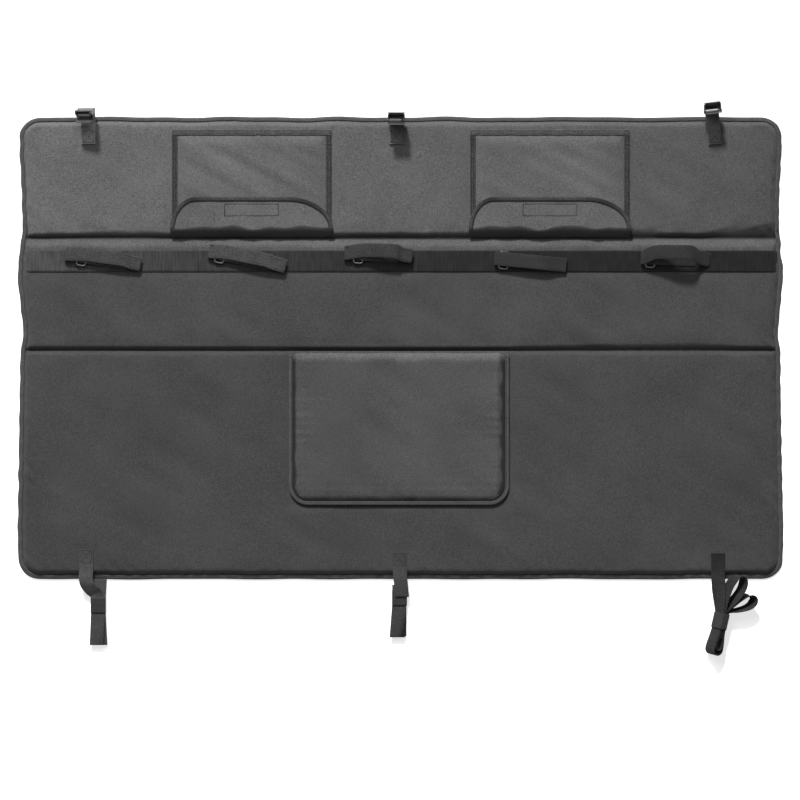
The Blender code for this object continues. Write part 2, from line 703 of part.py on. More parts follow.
def plate(name, outline, thickness, holes=()):
    """A flat outline in the object's XY plane, made as thick as stated, as a mesh."""
    curve = bpy.data.curves.new(name, "CURVE")
    curve.dimensions = "2D"
    curve.fill_mode = "BOTH"
    curve.extrude = thickness / 2
    for points in (outline, *holes):
        line = curve.splines.new("POLY")
        line.points.add(len(points) - 1)
        for target, point in zip(line.points, points):
            target.co = (*point, 0.0, 1.0)
        line.use_cyclic_u = True
    flat = new_object(name + "_outline", curve)
    graph = bpy.context.evaluated_depsgraph_get()
    mesh = bpy.data.meshes.new_from_object(flat.evaluated_get(graph))
    bpy.data.objects.remove(flat, do_unlink=True)
    form = bmesh.new()
    form.from_mesh(mesh)
    bmesh.ops.remove_doubles(form, verts=form.verts, dist=1e-6)
    bmesh.ops.recalc_face_normals(form, faces=form.faces)
    form.to_mesh(mesh)
    form.free()
    return new_object(name, mesh)


# In the buckle's own frame X runs across the strap, Y along it to the mouth, and Z from base to lever.
UPRIGHT = Matrix(((0, 0, 1, 0), (1, 0, 0, 0), (0, 1, 0, 0), (0, 0, 0, 1)))


def top_strap_levels(lay):
    """Where the doubled strap leaves the pad's face, and where its bar ends up."""
    pitch = radians(lay["pitch"])
    middle_z = FACE_TOP + GAP + WEBBING / 2 + LAYER_PITCH / 2
    leave_y = lay["bar_y"] - LOOP_TAPER * cos(pitch) - STRAP_BEND * sin(pitch)
    bar_z = middle_z + STRAP_BEND * (1 - cos(pitch)) + LOOP_TAPER * sin(pitch)
    return pitch, middle_z, leave_y, bar_z


def lean_about(lay, share):
    """Turns points sideways about the line where the strap leaves the face, by a share of the lean."""
    middle_z = top_strap_levels(lay)[1]
    there = Matrix.Translation((0, 0, middle_z))
    return there @ Matrix.Rotation(radians(lay["lean"]) * share, 4, "Y") @ there.inverted()


def strap_frame(lay):
    """Puts the strap's own frame, whose X is zero on its centre line, in its place on the pad."""
    move = Matrix.Translation((lay["x"], TOP_STRAP_SEWN_Y, 0))
    back = Matrix.Translation((0, -TOP_STRAP_SEWN_Y, 0))
    return move @ Matrix.Rotation(radians(lay["turn"]), 4, "Z") @ back


def buckle_frame(lay):
    pitch, _, _, bar_z = top_strap_levels(lay)
    stand = Matrix.Translation((0, lay["bar_y"], bar_z)) @ Matrix.Rotation(pitch, 4, "X")
    return strap_frame(lay) @ lean_about(lay, 1.0) @ stand


def top_strap(side, lay):
    """Webbing doubled round the buckle's bar; its two ends are sewn to the inner panel's face."""
    pitch, middle_z, leave_y, _ = top_strap_levels(lay)
    tail = [(Vector((0, TOP_STRAP_SEWN_Y, middle_z)), Vector((0, 0, 1)))]
    steps = 5
    shares = [0.0]
    for i in range(steps + 1):
        angle = pitch * i / steps
        rise = Vector((0, STRAP_BEND * sin(angle), STRAP_BEND * (1 - cos(angle))))
        tail.append((Vector((0, leave_y, middle_z)) + rise, Vector((0, -sin(angle), cos(angle)))))
        shares.append(i / steps)
    heading = Vector((0, cos(pitch), sin(pitch)))
    path = loop_round_bar(tail, LOOP_TAPER, BAR_RADIUS + GAP + WEBBING / 2, heading)
    turning = len(path) - 2 * len(tail)
    shares = shares + [1.0] * turning + shares[::-1]
    stations = []
    for point, share in zip(path, shares):
        move = strap_frame(lay) @ lean_about(lay, share)
        stations.append((move @ point, move.to_3x3() @ Vector((1, 0, 0))))
    finish(strip(f"top_strap_{side}_webbing", stations, WEBBING_WIDTH, WEBBING), "webbing")


def buckle_side_outline():
    """A side wall seen from the side: an eye at the bar, an eye at the pin, low at the mouth."""
    base = BUCKLE_WALL / 2
    ear = BAR_RADIUS + 0.0012
    found = [(BUCKLE_BASE_START + BAR_RADIUS, -base), (BUCKLE_BASE_END, -base), (BUCKLE_BASE_END, 0.0046)]
    found += arc(PIN_POSITION, PIN_EYE, 48, 140, 5)
    found += arc((0.0, 0.0), ear, 115, 270, 5)
    return found


def buckle(side, lay):
    """A cam buckle: a folded frame with a strap bar, a pin, a toothed cam lever and its spring."""
    place = buckle_frame(lay)
    pin_y, pin_z = PIN_POSITION
    pin_at = Matrix.Translation((0, pin_y, pin_z))
    half = BUCKLE_WIDTH / 2

    base_length = BUCKLE_BASE_END - BUCKLE_BASE_START
    frame = box(f"buckle_{side}_frame", (BUCKLE_WIDTH - BUCKLE_WALL, base_length, BUCKLE_WALL), (0, 0, 0))
    frame.data.transform(Matrix.Translation((0, BUCKLE_BASE_START + base_length / 2, 0)))
    eye = arc((pin_y, pin_z), PIN_RADIUS + GAP, 360, 30, 11)
    for way in (-1, 1):
        wall = plate(f"wall_{side}_{way}", buckle_side_outline(), BUCKLE_WALL, holes=[eye])
        wall.data.transform(Matrix.Translation((way * (half - BUCKLE_WALL / 2), 0, 0)) @ UPRIGHT)
        combine(frame, wall, "UNION")
    bpy.ops.mesh.primitive_cylinder_add(vertices=12, radius=BAR_RADIUS, depth=BUCKLE_WIDTH - BUCKLE_WALL)
    bar = bpy.context.object
    bar.data.transform(UPRIGHT)
    combine(frame, bar, "UNION")
    frame.matrix_world = place
    finish(frame, "metal")

    inner = INNER_WIDTH / 2 - 2 * GAP
    spring_end = INNER_WIDTH / 2 - GAP
    hub_end = spring_end - SPRING_ROOM
    cam_radius = (pin_z - BUCKLE_WALL / 2 - GAP) / cos(radians(CAM_ANGLE))
    profile = []
    for i in range(36):
        angle = i * 10.0
        away = abs((angle - (270.0 - CAM_ANGLE) + 180.0) % 360.0 - 180.0)
        grow = max(0.0, cos(radians(min(90.0, away * 1.9))))
        radius = HUB_RADIUS + (cam_radius - HUB_RADIUS) * grow
        if away < 25 and i % 2:
            radius -= CAM_TOOTH
        profile.append((radius * cos(radians(angle)), radius * sin(radians(angle))))
    hole = arc((0, 0), PIN_RADIUS + GAP, 360, 30, 11)
    lever = plate(f"buckle_{side}_lever", profile, inner + hub_end, holes=[hole])
    lever.data.transform(Matrix.Translation(((hub_end - inner) / 2, 0, 0)) @ UPRIGHT)
    outline = [
        (-inner, 0.0),
        (inner, 0.0),
        (inner, LEVER_SHOULDER - 0.001),
        (half, LEVER_SHOULDER),
        (half, LEVER_LENGTH - LEVER_CORNER),
        (half - LEVER_CORNER, LEVER_LENGTH),
        (LEVER_CORNER - half, LEVER_LENGTH),
        (-half, LEVER_LENGTH - LEVER_CORNER),
        (-half, LEVER_SHOULDER),
        (-inner, LEVER_SHOULDER - 0.001),
    ]
    thumb = plate(f"thumb_{side}", outline, LEVER_PLATE)
    tilted = Matrix.Rotation(radians(LEVER_TILT), 4, "X")
    thumb.data.transform(tilted @ Matrix.Translation((0, 0, LEVER_OFFSET)))
    combine(lever, thumb, "UNION")
    lever.matrix_world = place @ pin_at
    finish(lever, "metal")

    length = half + GAP
    profile = [
        (0.0, length + PIN_HEAD_THICKNESS),
        (PIN_HEAD, length + PIN_HEAD_THICKNESS),
        (PIN_HEAD, length),
        (PIN_RADIUS, length),
        (PIN_RADIUS, -length),
        (PIN_HEAD, -length),
        (PIN_HEAD, -length - PIN_HEAD_THICKNESS),
        (0.0, -length - PIN_HEAD_THICKNESS),
    ]
    pin = turned(f"buckle_{side}_pin", profile)
    pin.matrix_world = place @ pin_at @ UPRIGHT
    finish(pin, "metal")

    spring = wire(f"buckle_{side}_spring", spring_points(hub_end + GAP), SPRING_WIRE / 2)
    spring.matrix_world = place @ pin_at
    finish(spring, "metal")


def turned(name, profile):
    """A solid turned about Z from pairs of radius and height that run down its outer side."""
    mesh = bpy.data.meshes.new(name)
    points = [(radius, 0.0, z) for radius, z in profile]
    mesh.from_pydata(points, [(i, i + 1) for i in range(len(points) - 1)], [])
    item = new_object(name, mesh)
    modifier = item.modifiers.new("turned", "SCREW")
    modifier.steps = modifier.render_steps = 12
    modifier.use_merge_vertices = True
    modifier.merge_threshold = 0.00001
    return item


def spring_points(start):
    """A coil round the pin, with one leg on the base and one under the lever's plate."""
    pitch = SPRING_WIRE + GAP / 2
    first = start + SPRING_WIRE / 2
    lever_angle = LEVER_TILT + 90.0
    total = SPRING_TURNS * 360.0
    steps = int(SPRING_TURNS * 10)
    found = []
    tilt = radians(LEVER_TILT)
    for along in (0.0095, 0.004):
        y = along * cos(tilt) - SPRING_RADIUS * sin(tilt)
        found.append(Vector((first, y, along * sin(tilt) + SPRING_RADIUS * cos(tilt))))
    for i in range(steps + 1):
        angle = radians(lever_angle + total * i / steps)
        x = first + pitch * SPRING_TURNS * i / steps
        found.append(Vector((x, SPRING_RADIUS * cos(angle), SPRING_RADIUS * sin(angle))))
    end = found[-1]
    way = radians(lever_angle + total + 90.0)
    found.append(end + Vector((0, cos(way), sin(way))) * 0.003)
    return found


def bundled_strap(side, lay):
    """A bottom strap: sewn to the outer panel, over its edge, then folded back and forth on the ground."""
    sewn_z = FACE_TOP + GAP + WEBBING / 2
    edge = PAD_BOTTOM
    floor = KEEPER + 2 * GAP + WEBBING / 2
    near = edge - lay["start"]
    far = near - lay["length"]
    route = [
        (0, edge + BOTTOM_TAIL, sewn_z),
        (0, edge + SLOPE_END, sewn_z),
        (0, edge + 0.006, sewn_z - 0.002),
        (lay["shift"] * 0.15, edge - 0.006, sewn_z - 0.0085),
        (lay["shift"] * 0.5, edge - 0.013, floor + 0.0004),
        (lay["shift"], near - 0.004, floor),
    ]
    path = smooth(route, 3)
    turn = BUNDLE_PITCH / 2
    for layer in range(BUNDLE_LAYERS):
        z = floor + layer * BUNDLE_PITCH
        away = layer % 2 == 0
        end = far + turn if away else near - turn - 0.003
        path.append(Vector((lay["shift"], end, z)))
        if layer < BUNDLE_LAYERS - 1:
            way = -1 if away else 1
            for y, rise in arc((end, z + turn), turn, -60, 90, 4):
                swing = way * (y - end)
                path.append(Vector((lay["shift"], end + swing, rise)))
    across = Vector((1, 0, 0))
    stations = [(point + Vector((lay["x"], 0, 0)), across) for point in path]
    finish(strip(f"bottom_strap_{side}_webbing", stations, WEBBING_WIDTH, WEBBING), "webbing")

    top = floor + (BUNDLE_LAYERS - 1) * BUNDLE_PITCH
    clear = WEBBING / 2 + 2 * GAP + KEEPER / 2
    half = WEBBING_WIDTH / 2 + GAP + KEEPER / 2
    y = edge - lay["keeper"]
    band_outline = rounded(-half, half, floor - WEBBING / 2 - GAP - KEEPER / 2, top + clear, 0, 0)
    middle = lay["x"] + lay["shift"]
    loops = [[Vector((middle + x, y - step, z)) for x, z in band_outline] for step in (0.0, KEEPER_WIDTH)]
    finish(shell(f"bottom_strap_{side}_keeper", loops, KEEPER, fill=False), "tape")


def fanned_strap():
    """The right bottom strap: it turns on its edge, runs through its keeper and loops out of it twice.

    In the bundle's own frame Y runs from the lower end to the pad. Five lanes lie side by side in the
    keeper, numbered from -2 to 2, and the whole bundle leans to the right.
    """
    lean = radians(RIGHT_LEAN)
    leaning = Vector((sin(lean), 0, cos(lean)))
    beside = Vector((cos(lean), 0, -sin(lean)))
    half_tall = WEBBING_WIDTH / 2 + GAP + KEEPER / 2
    half_wide = 2 * RIGHT_PITCH + WEBBING / 2 + KEEPER_ROOM + KEEPER / 2
    middle_z = half_tall * cos(lean) + half_wide * sin(lean) + KEEPER
    mouth = KEEPER_WIDTH / 2
    place = Matrix.Translation((*RIGHT_BUNDLE, 0)) @ Matrix.Rotation(radians(RIGHT_TURN), 4, "Z")

    def lane(number, along):
        return Vector((0, along, middle_z)) + beside * number * RIGHT_PITCH

    def fold(number, far):
        """Down one lane, round the lower end and back up the lane on the other side."""
        found = [lane(number, -mouth)]
        for i in range(9):
            angle = pi * i / 8
            found.append(lane(number * cos(angle), -far - abs(number) * RIGHT_PITCH * sin(angle)))
        return found + [lane(-number, -mouth)]

    def petal(lay):
        """Out of one lane, round a drop-shaped loop and back into the next lane."""
        heading = radians(lay["heading"])
        ahead = Vector((sin(heading), cos(heading), 0)) * lay["length"]
        aside = Vector((-cos(heading), sin(heading), 0)) * lay["width"] / 2
        lift = Vector((0, 0, lay["rise"]))
        first = lane(lay["out"], mouth + PETAL_START)
        last = lane(lay["back"], mouth + PETAL_START)
        points = [lane(lay["out"], mouth), first]
        for i in range(1, 8):
            share = i / 8
            swell = sin(pi * share)
            points.append(first.lerp(last, share) + (ahead + lift) * swell + aside * sin(2 * pi * share))
        return smooth(points + [last, lane(lay["back"], mouth)], 3)

    path = fold(-2, RIGHT_OUTER_END) + petal(RIGHT_PETALS["lower"])
    path += fold(1, RIGHT_INNER_END) + petal(RIGHT_PETALS["upper"])
    path += [lane(0, -mouth), lane(0, -RIGHT_FREE_END)]
    bundle = [(place @ point, place.to_3x3() @ leaning) for point in [lane(-2, mouth)] + path]

    sewn_z = FACE_TOP + GAP + WEBBING / 2
    flat = Vector((1, 0, 0))
    begin = Vector((RIGHT_STRAP_X, PAD_BOTTOM + EDGE_TAPE_REACH, sewn_z))
    finish_at, finish_across = bundle[0]
    stations = [(Vector((RIGHT_STRAP_X, PAD_BOTTOM + BOTTOM_TAIL, sewn_z)), flat), (begin, flat)]
    for i in range(1, 9):
        share = i / 9
        eased = share * share * (3 - 2 * share)
        across = flat.slerp(finish_across, eased)
        stations.append((begin.lerp(finish_at, share), across))
    finish(strip("bottom_strap_right_webbing", stations + bundle, WEBBING_WIDTH, WEBBING), "webbing")

    corners = [(-1, -1), (1, -1), (1, 1), (-1, 1)]
    centre = Vector((0, 0, middle_z))
    ring = [centre + beside * half_wide * x + leaning * half_tall * y for x, y in corners]
    loops = [[place @ (point + Vector((0, step, 0))) for point in ring] for step in (-mouth, mouth)]
    finish(shell("bottom_strap_right_keeper", loops, KEEPER, fill=False), "tape")


def build():
    clear_scene()
    for name in (PARTS, CUTTERS):
        bpy.context.scene.collection.children.link(bpy.data.collections.new(name))
    window = window_cutter()
    pad_layers(window)
    camera_flap()
    pocket("left", -POCKET_SPACING / 2)
    pocket("right", POCKET_SPACING / 2)
    strap_band()
    for name, lay in BIKE_STRAPS.items():
        bike_strap(name, lay)
    for side, lay in TOP_STRAPS.items():
        top_strap(side, lay)
        buckle(side, lay)
    for side, lay in BOTTOM_STRAPS.items():
        bundled_strap(side, lay)
    fanned_strap()


build()
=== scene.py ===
"""How the tailgate bike pad looks: padded cloth panels, sewn edges, webbing straps and steel buckles."""

import bpy
import numpy as np
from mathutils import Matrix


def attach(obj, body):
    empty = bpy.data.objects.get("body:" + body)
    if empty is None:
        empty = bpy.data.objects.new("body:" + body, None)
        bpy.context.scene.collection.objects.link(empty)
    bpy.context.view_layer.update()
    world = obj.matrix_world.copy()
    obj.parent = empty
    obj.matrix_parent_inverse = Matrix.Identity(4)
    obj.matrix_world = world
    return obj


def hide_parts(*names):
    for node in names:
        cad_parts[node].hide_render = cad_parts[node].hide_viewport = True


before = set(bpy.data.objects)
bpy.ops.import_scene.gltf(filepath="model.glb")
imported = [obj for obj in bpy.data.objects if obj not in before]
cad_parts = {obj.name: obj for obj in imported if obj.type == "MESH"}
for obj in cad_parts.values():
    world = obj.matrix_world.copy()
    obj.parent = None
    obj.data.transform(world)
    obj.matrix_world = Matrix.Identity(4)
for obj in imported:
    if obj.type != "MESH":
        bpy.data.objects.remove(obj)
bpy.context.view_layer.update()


# Studio: the camera looks straight down on the pad, as in the photo. A sun behind the inner panel and
# a lamp at the upper left light it, and the world is dim, but shows white to the camera and in metal.
class Value:
    """A number that changes over a surface: a node's socket, with sums written as Python sums."""

    def __init__(self, tree, socket):
        self.tree = tree
        self.socket = socket

    def math(self, operation, *others, clamp=False):
        made = self.tree.nodes.new("ShaderNodeMath")
        made.operation = operation
        made.use_clamp = clamp
        for place, given in zip(made.inputs, (self, *others)):
            if isinstance(given, Value):
                self.tree.links.new(given.socket, place)
            else:
                place.default_value = given
        return Value(self.tree, made.outputs[0])

    def __add__(self, other):
        return self.math("ADD", other)

    def __mul__(self, other):
        return self.math("MULTIPLY", other)

    def __sub__(self, other):
        return self.math("SUBTRACT", other)

    def __rsub__(self, other):
        return self.math("MULTIPLY_ADD", -1.0, other)

    __radd__ = __add__
    __rmul__ = __mul__

    def wave(self, length):
        """A sine wave of this length in metres."""
        return (self * (2 * np.pi / length)).math("SINE")

    def clamped(self):
        return self.math("ADD", 0.0, clamp=True)


class Finish:
    """A material, or the world, put together from nodes."""

    def __init__(self, name, tree=None):
        if tree is None:
            self.material = bpy.data.materials.new(name)
            self.material.use_nodes = True
            tree = self.material.node_tree
        self.tree = tree
        self.tree.nodes.clear()

    def node(self, kind, settings=None, sockets=None, out=0):
        """Adds a node: its settings first, then the values or links of its sockets."""
        made = self.tree.nodes.new("ShaderNode" + kind)
        for key, value in (settings or {}).items():
            setattr(made, key, value)
        for key, given in (sockets or {}).items():
            if isinstance(given, Value):
                self.tree.links.new(given.socket, made.inputs[key])
            else:
                made.inputs[key].default_value = given
        return Value(self.tree, made.outputs[out]) if made.outputs else None

    def mix(self, share, low, high):
        """A colour between two colours."""
        low, high = ((*c, 1.0) if isinstance(c, tuple) else c for c in (low, high))
        return self.node("Mix", {"data_type": "RGBA"}, {0: share, 6: low, 7: high}, out=2)

    def mottled(self, share, colour, mottle):
        """A colour that goes darker and lighter by the same part of itself."""
        low, high = (tuple(c * part for c in colour) for part in (1 - mottle, 1 + mottle))
        return self.mix(share, low, high)

    def creased(self, paint, colour, part):
        """Fades the paint to a part of its colour by the mesh's own attribute: painted shade on most pieces,
        a plain darker patch on the right bottom strap.
        """
        depth = self.node("Attribute", {"attribute_name": "crease"}, out=2)
        return self.mix(depth, paint, tuple(c * part for c in colour))

    def axes(self, place):
        return (self.node("SeparateXYZ", sockets={0: place}, out=axis) for axis in range(3))

    def noise(self, where, scale, detail, roughness=0.5):
        given = {"Vector": where, "Scale": scale, "Detail": detail, "Roughness": roughness}
        return self.node("TexNoise", sockets=given)

    def coat(self, sockets, strength, distance, height):
        """The surface itself, with a bump of this strength, depth and height."""
        bump = self.node("Bump", sockets={"Strength": strength, "Distance": distance, "Height": height})
        coated = self.node("BsdfPrincipled", sockets={**sockets, "Normal": bump})
        self.node("OutputMaterial", sockets={0: coated})
        return self


PHOTO_PIXEL, PHOTO_SIZE = 0.0018, 800
PHOTO_CENTRE, PHOTO_LEVEL = (-0.0013, -0.1910), 0.005
LENS, SENSOR = 200.0, 36.0
camera = bpy.data.objects.new("camera", bpy.data.cameras.new("camera"))
camera.data.lens = LENS
camera.data.sensor_width = SENSOR
camera.data.clip_end = 60.0
camera.location = (*PHOTO_CENTRE, PHOTO_LEVEL + PHOTO_SIZE * PHOTO_PIXEL * LENS / SENSOR)
bpy.context.scene.collection.objects.link(camera)
bpy.context.scene.camera = camera
bpy.context.scene.view_settings.view_transform = "Standard"

sun = bpy.data.objects.new("sun", bpy.data.lights.new("sun", "SUN"))
sun.data.energy = 4.55
sun.data.angle = 0.13
sun.rotation_euler = (-0.95, 0.0, 0.20)
lamp = bpy.data.objects.new("lamp", bpy.data.lights.new("lamp", "AREA"))
lamp.data.energy = 13.0
lamp.data.size = 1.0
lamp.location = (-0.35, 0.9, 1.7)
lamp.rotation_euler = (-0.55, -0.17, 0.0)
for light in (sun, lamp):
    bpy.context.scene.collection.objects.link(light)

bpy.context.scene.world = bpy.data.worlds.new("studio")
bpy.context.scene.world.use_nodes = True
world = Finish("studio", bpy.context.scene.world.node_tree)
seen = world.node("LightPath", out=0) + world.node("LightPath", out=3) + world.node("LightPath", out=6)
dim = world.node("Background", sockets={"Color": (1, 1, 1, 1), "Strength": 0.08})
white = world.node("Background", sockets={"Color": (1, 1, 1, 1), "Strength": 1.0})
world.node("OutputWorld", sockets={0: world.node("MixShader", sockets={0: seen.clamped(), 1: dim, 2: white})})

paper = Finish("floor")
lit = paper.node("BsdfDiffuse", sockets={"Color": (0.93, 0.93, 0.93, 1)})
lift = paper.node("Emission", sockets={"Strength": paper.node("LightPath", out=0) * 0.70})
paper.node("OutputMaterial", sockets={0: paper.node("AddShader", sockets={0: lit, 1: lift})})
FLOOR_HALF, FLOOR_Z = 12.0, -0.0004
SQUARE = ((-1, -1), (1, -1), (1, 1), (-1, 1))
floor_mesh = bpy.data.meshes.new("floor")
floor_mesh.from_pydata([(x * FLOOR_HALF, y * FLOOR_HALF, FLOOR_Z) for x, y in SQUARE], [], [(0, 1, 2, 3)])
floor = bpy.data.objects.new("floor", floor_mesh)
floor_mesh.materials.append(paper.material)
bpy.context.scene.collection.objects.link(floor)


# Back cloth: one sheet of coated polyester, laid flat, with a window cut in the outer panel. The pad's
# layers are all sewn to it along the edge and along the two folds.
HALF_WIDTH, PAD_TOP, PAD_BOTTOM = 0.6860, 0.31935, -0.51435
FOLD_A, FOLD_B = 0.10135, -0.10135
CORNER = 0.037
CLOTH = 0.001
RIM = 0.0013
LEFT_EDGE = ((0.2518, -0.4), (0.1996, 2.7), (0.106, 5.2), (0.0952, 1.2), (0.0448, -3.2), (0.0322, -4.5),
             (-0.0722, 7.0), (-0.1046, 1.0), (-0.191, -0.5), (-0.443, -4.1), (-0.4772, -2.2))
RIGHT_EDGE = ((0.258, 0.0), (0.1834, 4.3), (0.1103, 4.9), (0.0988, 0.7), (0.0835, 3.2), (0.0412, -3.4),
              (-0.074, 7.2), (-0.1058, 1.8), (-0.155, 2.2), (-0.3062, -0.4), (-0.4268, -3.2), (-0.479, -1.8))
SIDE_FADE, END_FADE = 0.045, 0.03
MILLIMETRE = 0.001


def bell(distance, width, power=2):
    """1 at no distance, about a third at the width: e to the minus ratio of the two, to an even power."""
    return np.exp(-((distance / width) ** power))


def ramp(distance, width=1.0):
    """0 up to no distance, 1 from the width on, and a straight line between."""
    return np.clip(distance / width, 0, 1)


def ripple(t, length, seed, waves=7):
    """Even but irregular waves, about -1 to 1: a sum of sines near one length, with seeded phases."""
    draw = np.random.default_rng(seed)
    total = np.zeros_like(t, dtype=float)
    for _ in range(waves):
        total += np.sin(2 * np.pi * t / (length * draw.uniform(0.6, 1.7)) + draw.uniform(0, 2 * np.pi))
    return total / np.sqrt(waves)


def edge_shift(stops, y):
    """How far an edge lies in from straight at each y, in metres: a smooth line through its stops."""
    at, shift = np.array(stops[::-1]).T
    spread = np.linspace(-0.009, 0.009, 7)
    return np.mean([np.interp(y + step, at, shift) for step in spread], axis=0) * MILLIMETRE


def waver(points):
    """The pad's real outline: each side edge moves in or out by its shift, fading inwards."""
    x, y, z = np.moveaxis(np.asarray(points, dtype=float), -1, 0)
    left = edge_shift(LEFT_EDGE, y) + 0.0005 * ripple(y, 0.03, 4)
    right = edge_shift(RIGHT_EDGE, y) + 0.0005 * ripple(y, 0.03, 5)
    x = x + left * bell(x + HALF_WIDTH, SIDE_FADE) - right * bell(x - HALF_WIDTH, SIDE_FADE)
    down = 0.0009 * (1 + ripple(x, 0.16, 6)) * bell(y - PAD_TOP, END_FADE)
    up = 0.0008 * (1 + ripple(x, 0.2, 7)) * bell(y - PAD_BOTTOM, END_FADE)
    return np.stack([x, y - down + up, z], -1)


def surface(name, points, uv=None, around=False, along=False, ends=False):
    """A mesh through a grid of points. around joins the last column to the first, along the rows."""
    rows, cols = points.shape[:2]
    i, j = np.mgrid[0 : rows if along else rows - 1, 0 : cols if around else cols - 1]
    below, beside = (i + 1) % rows, (j + 1) % cols
    quads = np.stack([i * cols + j, i * cols + beside, below * cols + beside, below * cols + j], -1)
    faces = quads.reshape(-1, 4).tolist()
    if ends:
        faces += [list(range(cols))[::-1], list(range((rows - 1) * cols, rows * cols))]
    mesh = bpy.data.meshes.new(name)
    mesh.from_pydata(points.reshape(-1, 3).tolist(), [], faces)
    mesh.polygons.foreach_set("use_smooth", np.ones(len(faces), dtype=bool))
    if uv is not None:
        corners = np.stack([uv[i, j], uv[i, j + 1], uv[i + 1, j + 1], uv[i + 1, j]], -2).reshape(-1, 2)
        full = np.zeros((len(mesh.loops), 2))
        full[: len(corners)] = corners
        mesh.uv_layers.new(name="lay").data.foreach_set("uv", full.ravel())
    mesh.update()
    made = bpy.data.objects.new(name, mesh)
    bpy.context.scene.collection.objects.link(made)
    return made


def dress(piece, finish, slot, *nodes):
    """Gives a piece its material and lets it ride on the pad in place of CAD nodes; slot is not used."""
    piece.data.materials.append(finish.material)
    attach(piece, "pad")
    if nodes:
        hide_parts(*nodes)
    return piece


def thicken(piece, thickness, offset=0.0):
    solid = piece.modifiers.new("thickness", "SOLIDIFY")
    solid.thickness = thickness
    solid.offset = offset
    return piece


def apply_all(piece):
    """Turns a piece's modifiers into its mesh."""
    graph = bpy.context.evaluated_depsgraph_get()
    mesh = bpy.data.meshes.new_from_object(piece.evaluated_get(graph))
    piece.modifiers.clear()
    piece.data = mesh
    return piece


def darken(piece, dark):
    """Writes how much darker each point of a piece is painted, from 0 to 1, for its material to read: painted
    shade in seams, folds and tape turns, and the right bottom strap's darker sewn end.
    """
    values = piece.data.attributes.new("crease", "FLOAT", "POINT").data
    values.foreach_set("value", np.ravel(dark).astype(float))


def rounded_half(y, half, low, high, low_corner, high_corner):
    """Half the width of a rounded rectangle at height y: the straight half less the corner's arc."""
    into_low = np.clip(low_corner - (y - low), 0, low_corner)
    into_high = np.clip(high_corner - (high - y), 0, high_corner)
    cut_low = low_corner - np.sqrt(low_corner**2 - into_low**2)
    cut_high = high_corner - np.sqrt(high_corner**2 - into_high**2)
    return half - np.maximum(cut_low, cut_high)


def spaced(stops, coarse, fine, reach):
    """Grid lines from the first stop to the last, fine within reach of every stop and coarse between."""
    lines = []
    for a, b in zip(stops, stops[1:]):
        near = min(reach, (b - a) / 3)
        inner = max(2, int(round((b - a - 2 * near) / coarse)))
        edge = max(2, int(round(near / fine)))
        lines += list(np.linspace(a, a + near, edge, endpoint=False))
        lines += list(np.linspace(a + near, b - near, inner, endpoint=False))
        lines += list(np.linspace(b - near, b, edge, endpoint=False))
    return np.array(lines + [stops[-1]])


def depth_in(x, y, left, right, low, high, corner):
    """How far inside a rounded rectangle a point is: the signed distance to its outline."""
    across = np.abs(x - (left + right) / 2) - (right - left) / 2 + corner
    up = np.abs(y - (low + high) / 2) - (high - low) / 2 + corner
    outside = np.hypot(np.maximum(across, 0), np.maximum(up, 0))
    return corner - outside - np.minimum(np.maximum(across, up), 0)


def cloth_finish(name, colour, painted_light_bands=(), crease=False):
    """Coated polyester: a plain weave of slubby threads with a dull sheen, mottled from thread to thread.

    The weave's height is the product of a sine across the warp and one across the weft. painted_light_bands
    give painted light and shade, as lit and shaded copies of the cloth: each has a height in Y, the colour
    from there up, how sharply it changes per metre, how far that line wanders and the colour at the right
    edge;
    crease darkens by the mesh's own attribute, painted shade in seams and on slopes.
    """
    mottle, weave = 0.56, 0.0007
    made = Finish(name)
    x, y, z = made.axes(made.node("TexCoord", out=3))

    def speckle(sx, sy, scale, detail=2.0):
        where = made.node("CombineXYZ", sockets={0: x * sx, 1: y * sy, 2: z * min(sx, sy)})
        return made.noise(where, scale, detail, 0.6) - 0.5

    grain = speckle(1, 1, 640.0, 1.0) + 0.45 * speckle(1, 8, 130.0) + 0.45 * speckle(8, 1, 130.0)
    clouds = speckle(1, 1, 7.0, 3.0)
    shade = (grain * 1.75 + clouds * 0.7 + 0.5).clamped()
    paint = made.mottled(shade, colour, mottle)
    drifting = speckle(1, 1, 26.0)
    for start, left, sharp, wander, right in painted_light_bands:
        over = ((y + drifting * wander - start) * sharp + 0.5).clamped()
        ends = (made.mottled(shade, (tone,) * 3, mottle) for tone in (left, right))
        lit_copy = made.mix((x * (1 / (2 * HALF_WIDTH)) + 0.5).clamped(), *ends)
        paint = made.mix(over, paint, lit_copy)
    if crease:
        paint = made.creased(paint, colour, 0.09)
    threads = x.wave(weave) * y.wave(weave) + 0.8 * grain
    return made.coat({"Base Color": paint, "Roughness": 0.82 + 0.3 * grain, "Sheen Weight": 0.12,
                      "Sheen Roughness": 0.5, "Specular IOR Level": 0.25}, 0.35, 0.0002, threads)


WINDOW = (-0.1532, 0.1468, -0.32685, -0.15685)
WINDOW_CORNER, PLUG_ENDS = 0.012, (-0.02, 0.04)


def rounded_line(left, right, low, high, low_corner, high_corner, open_top=False, steps=13):
    """A rounded rectangle's outline, anticlockwise from the upper right, or left open at the top."""
    turn = np.linspace(0, np.pi / 2, steps)
    corners = [(left, low, low_corner, np.pi), (right, low, low_corner, 1.5 * np.pi)]
    if not open_top:
        corners = [(right, high, high_corner, 0.0), (left, high, high_corner, np.pi / 2)] + corners
    found = [np.array([[left, high]])] if open_top else []
    for x, y, radius, start in corners:
        centre = np.array([x + (radius if x == left else -radius), y + (radius if y == low else -radius)])
        found.append(centre + radius * np.stack([np.cos(turn + start), np.sin(turn + start)], -1))
    if open_top:
        found.append(np.array([[right, high]]))
    return np.concatenate(found)


def at_height(line, z):
    """A flat line of points, lifted to one height or to a height for each."""
    return np.c_[line, np.broadcast_to(z, len(line))]


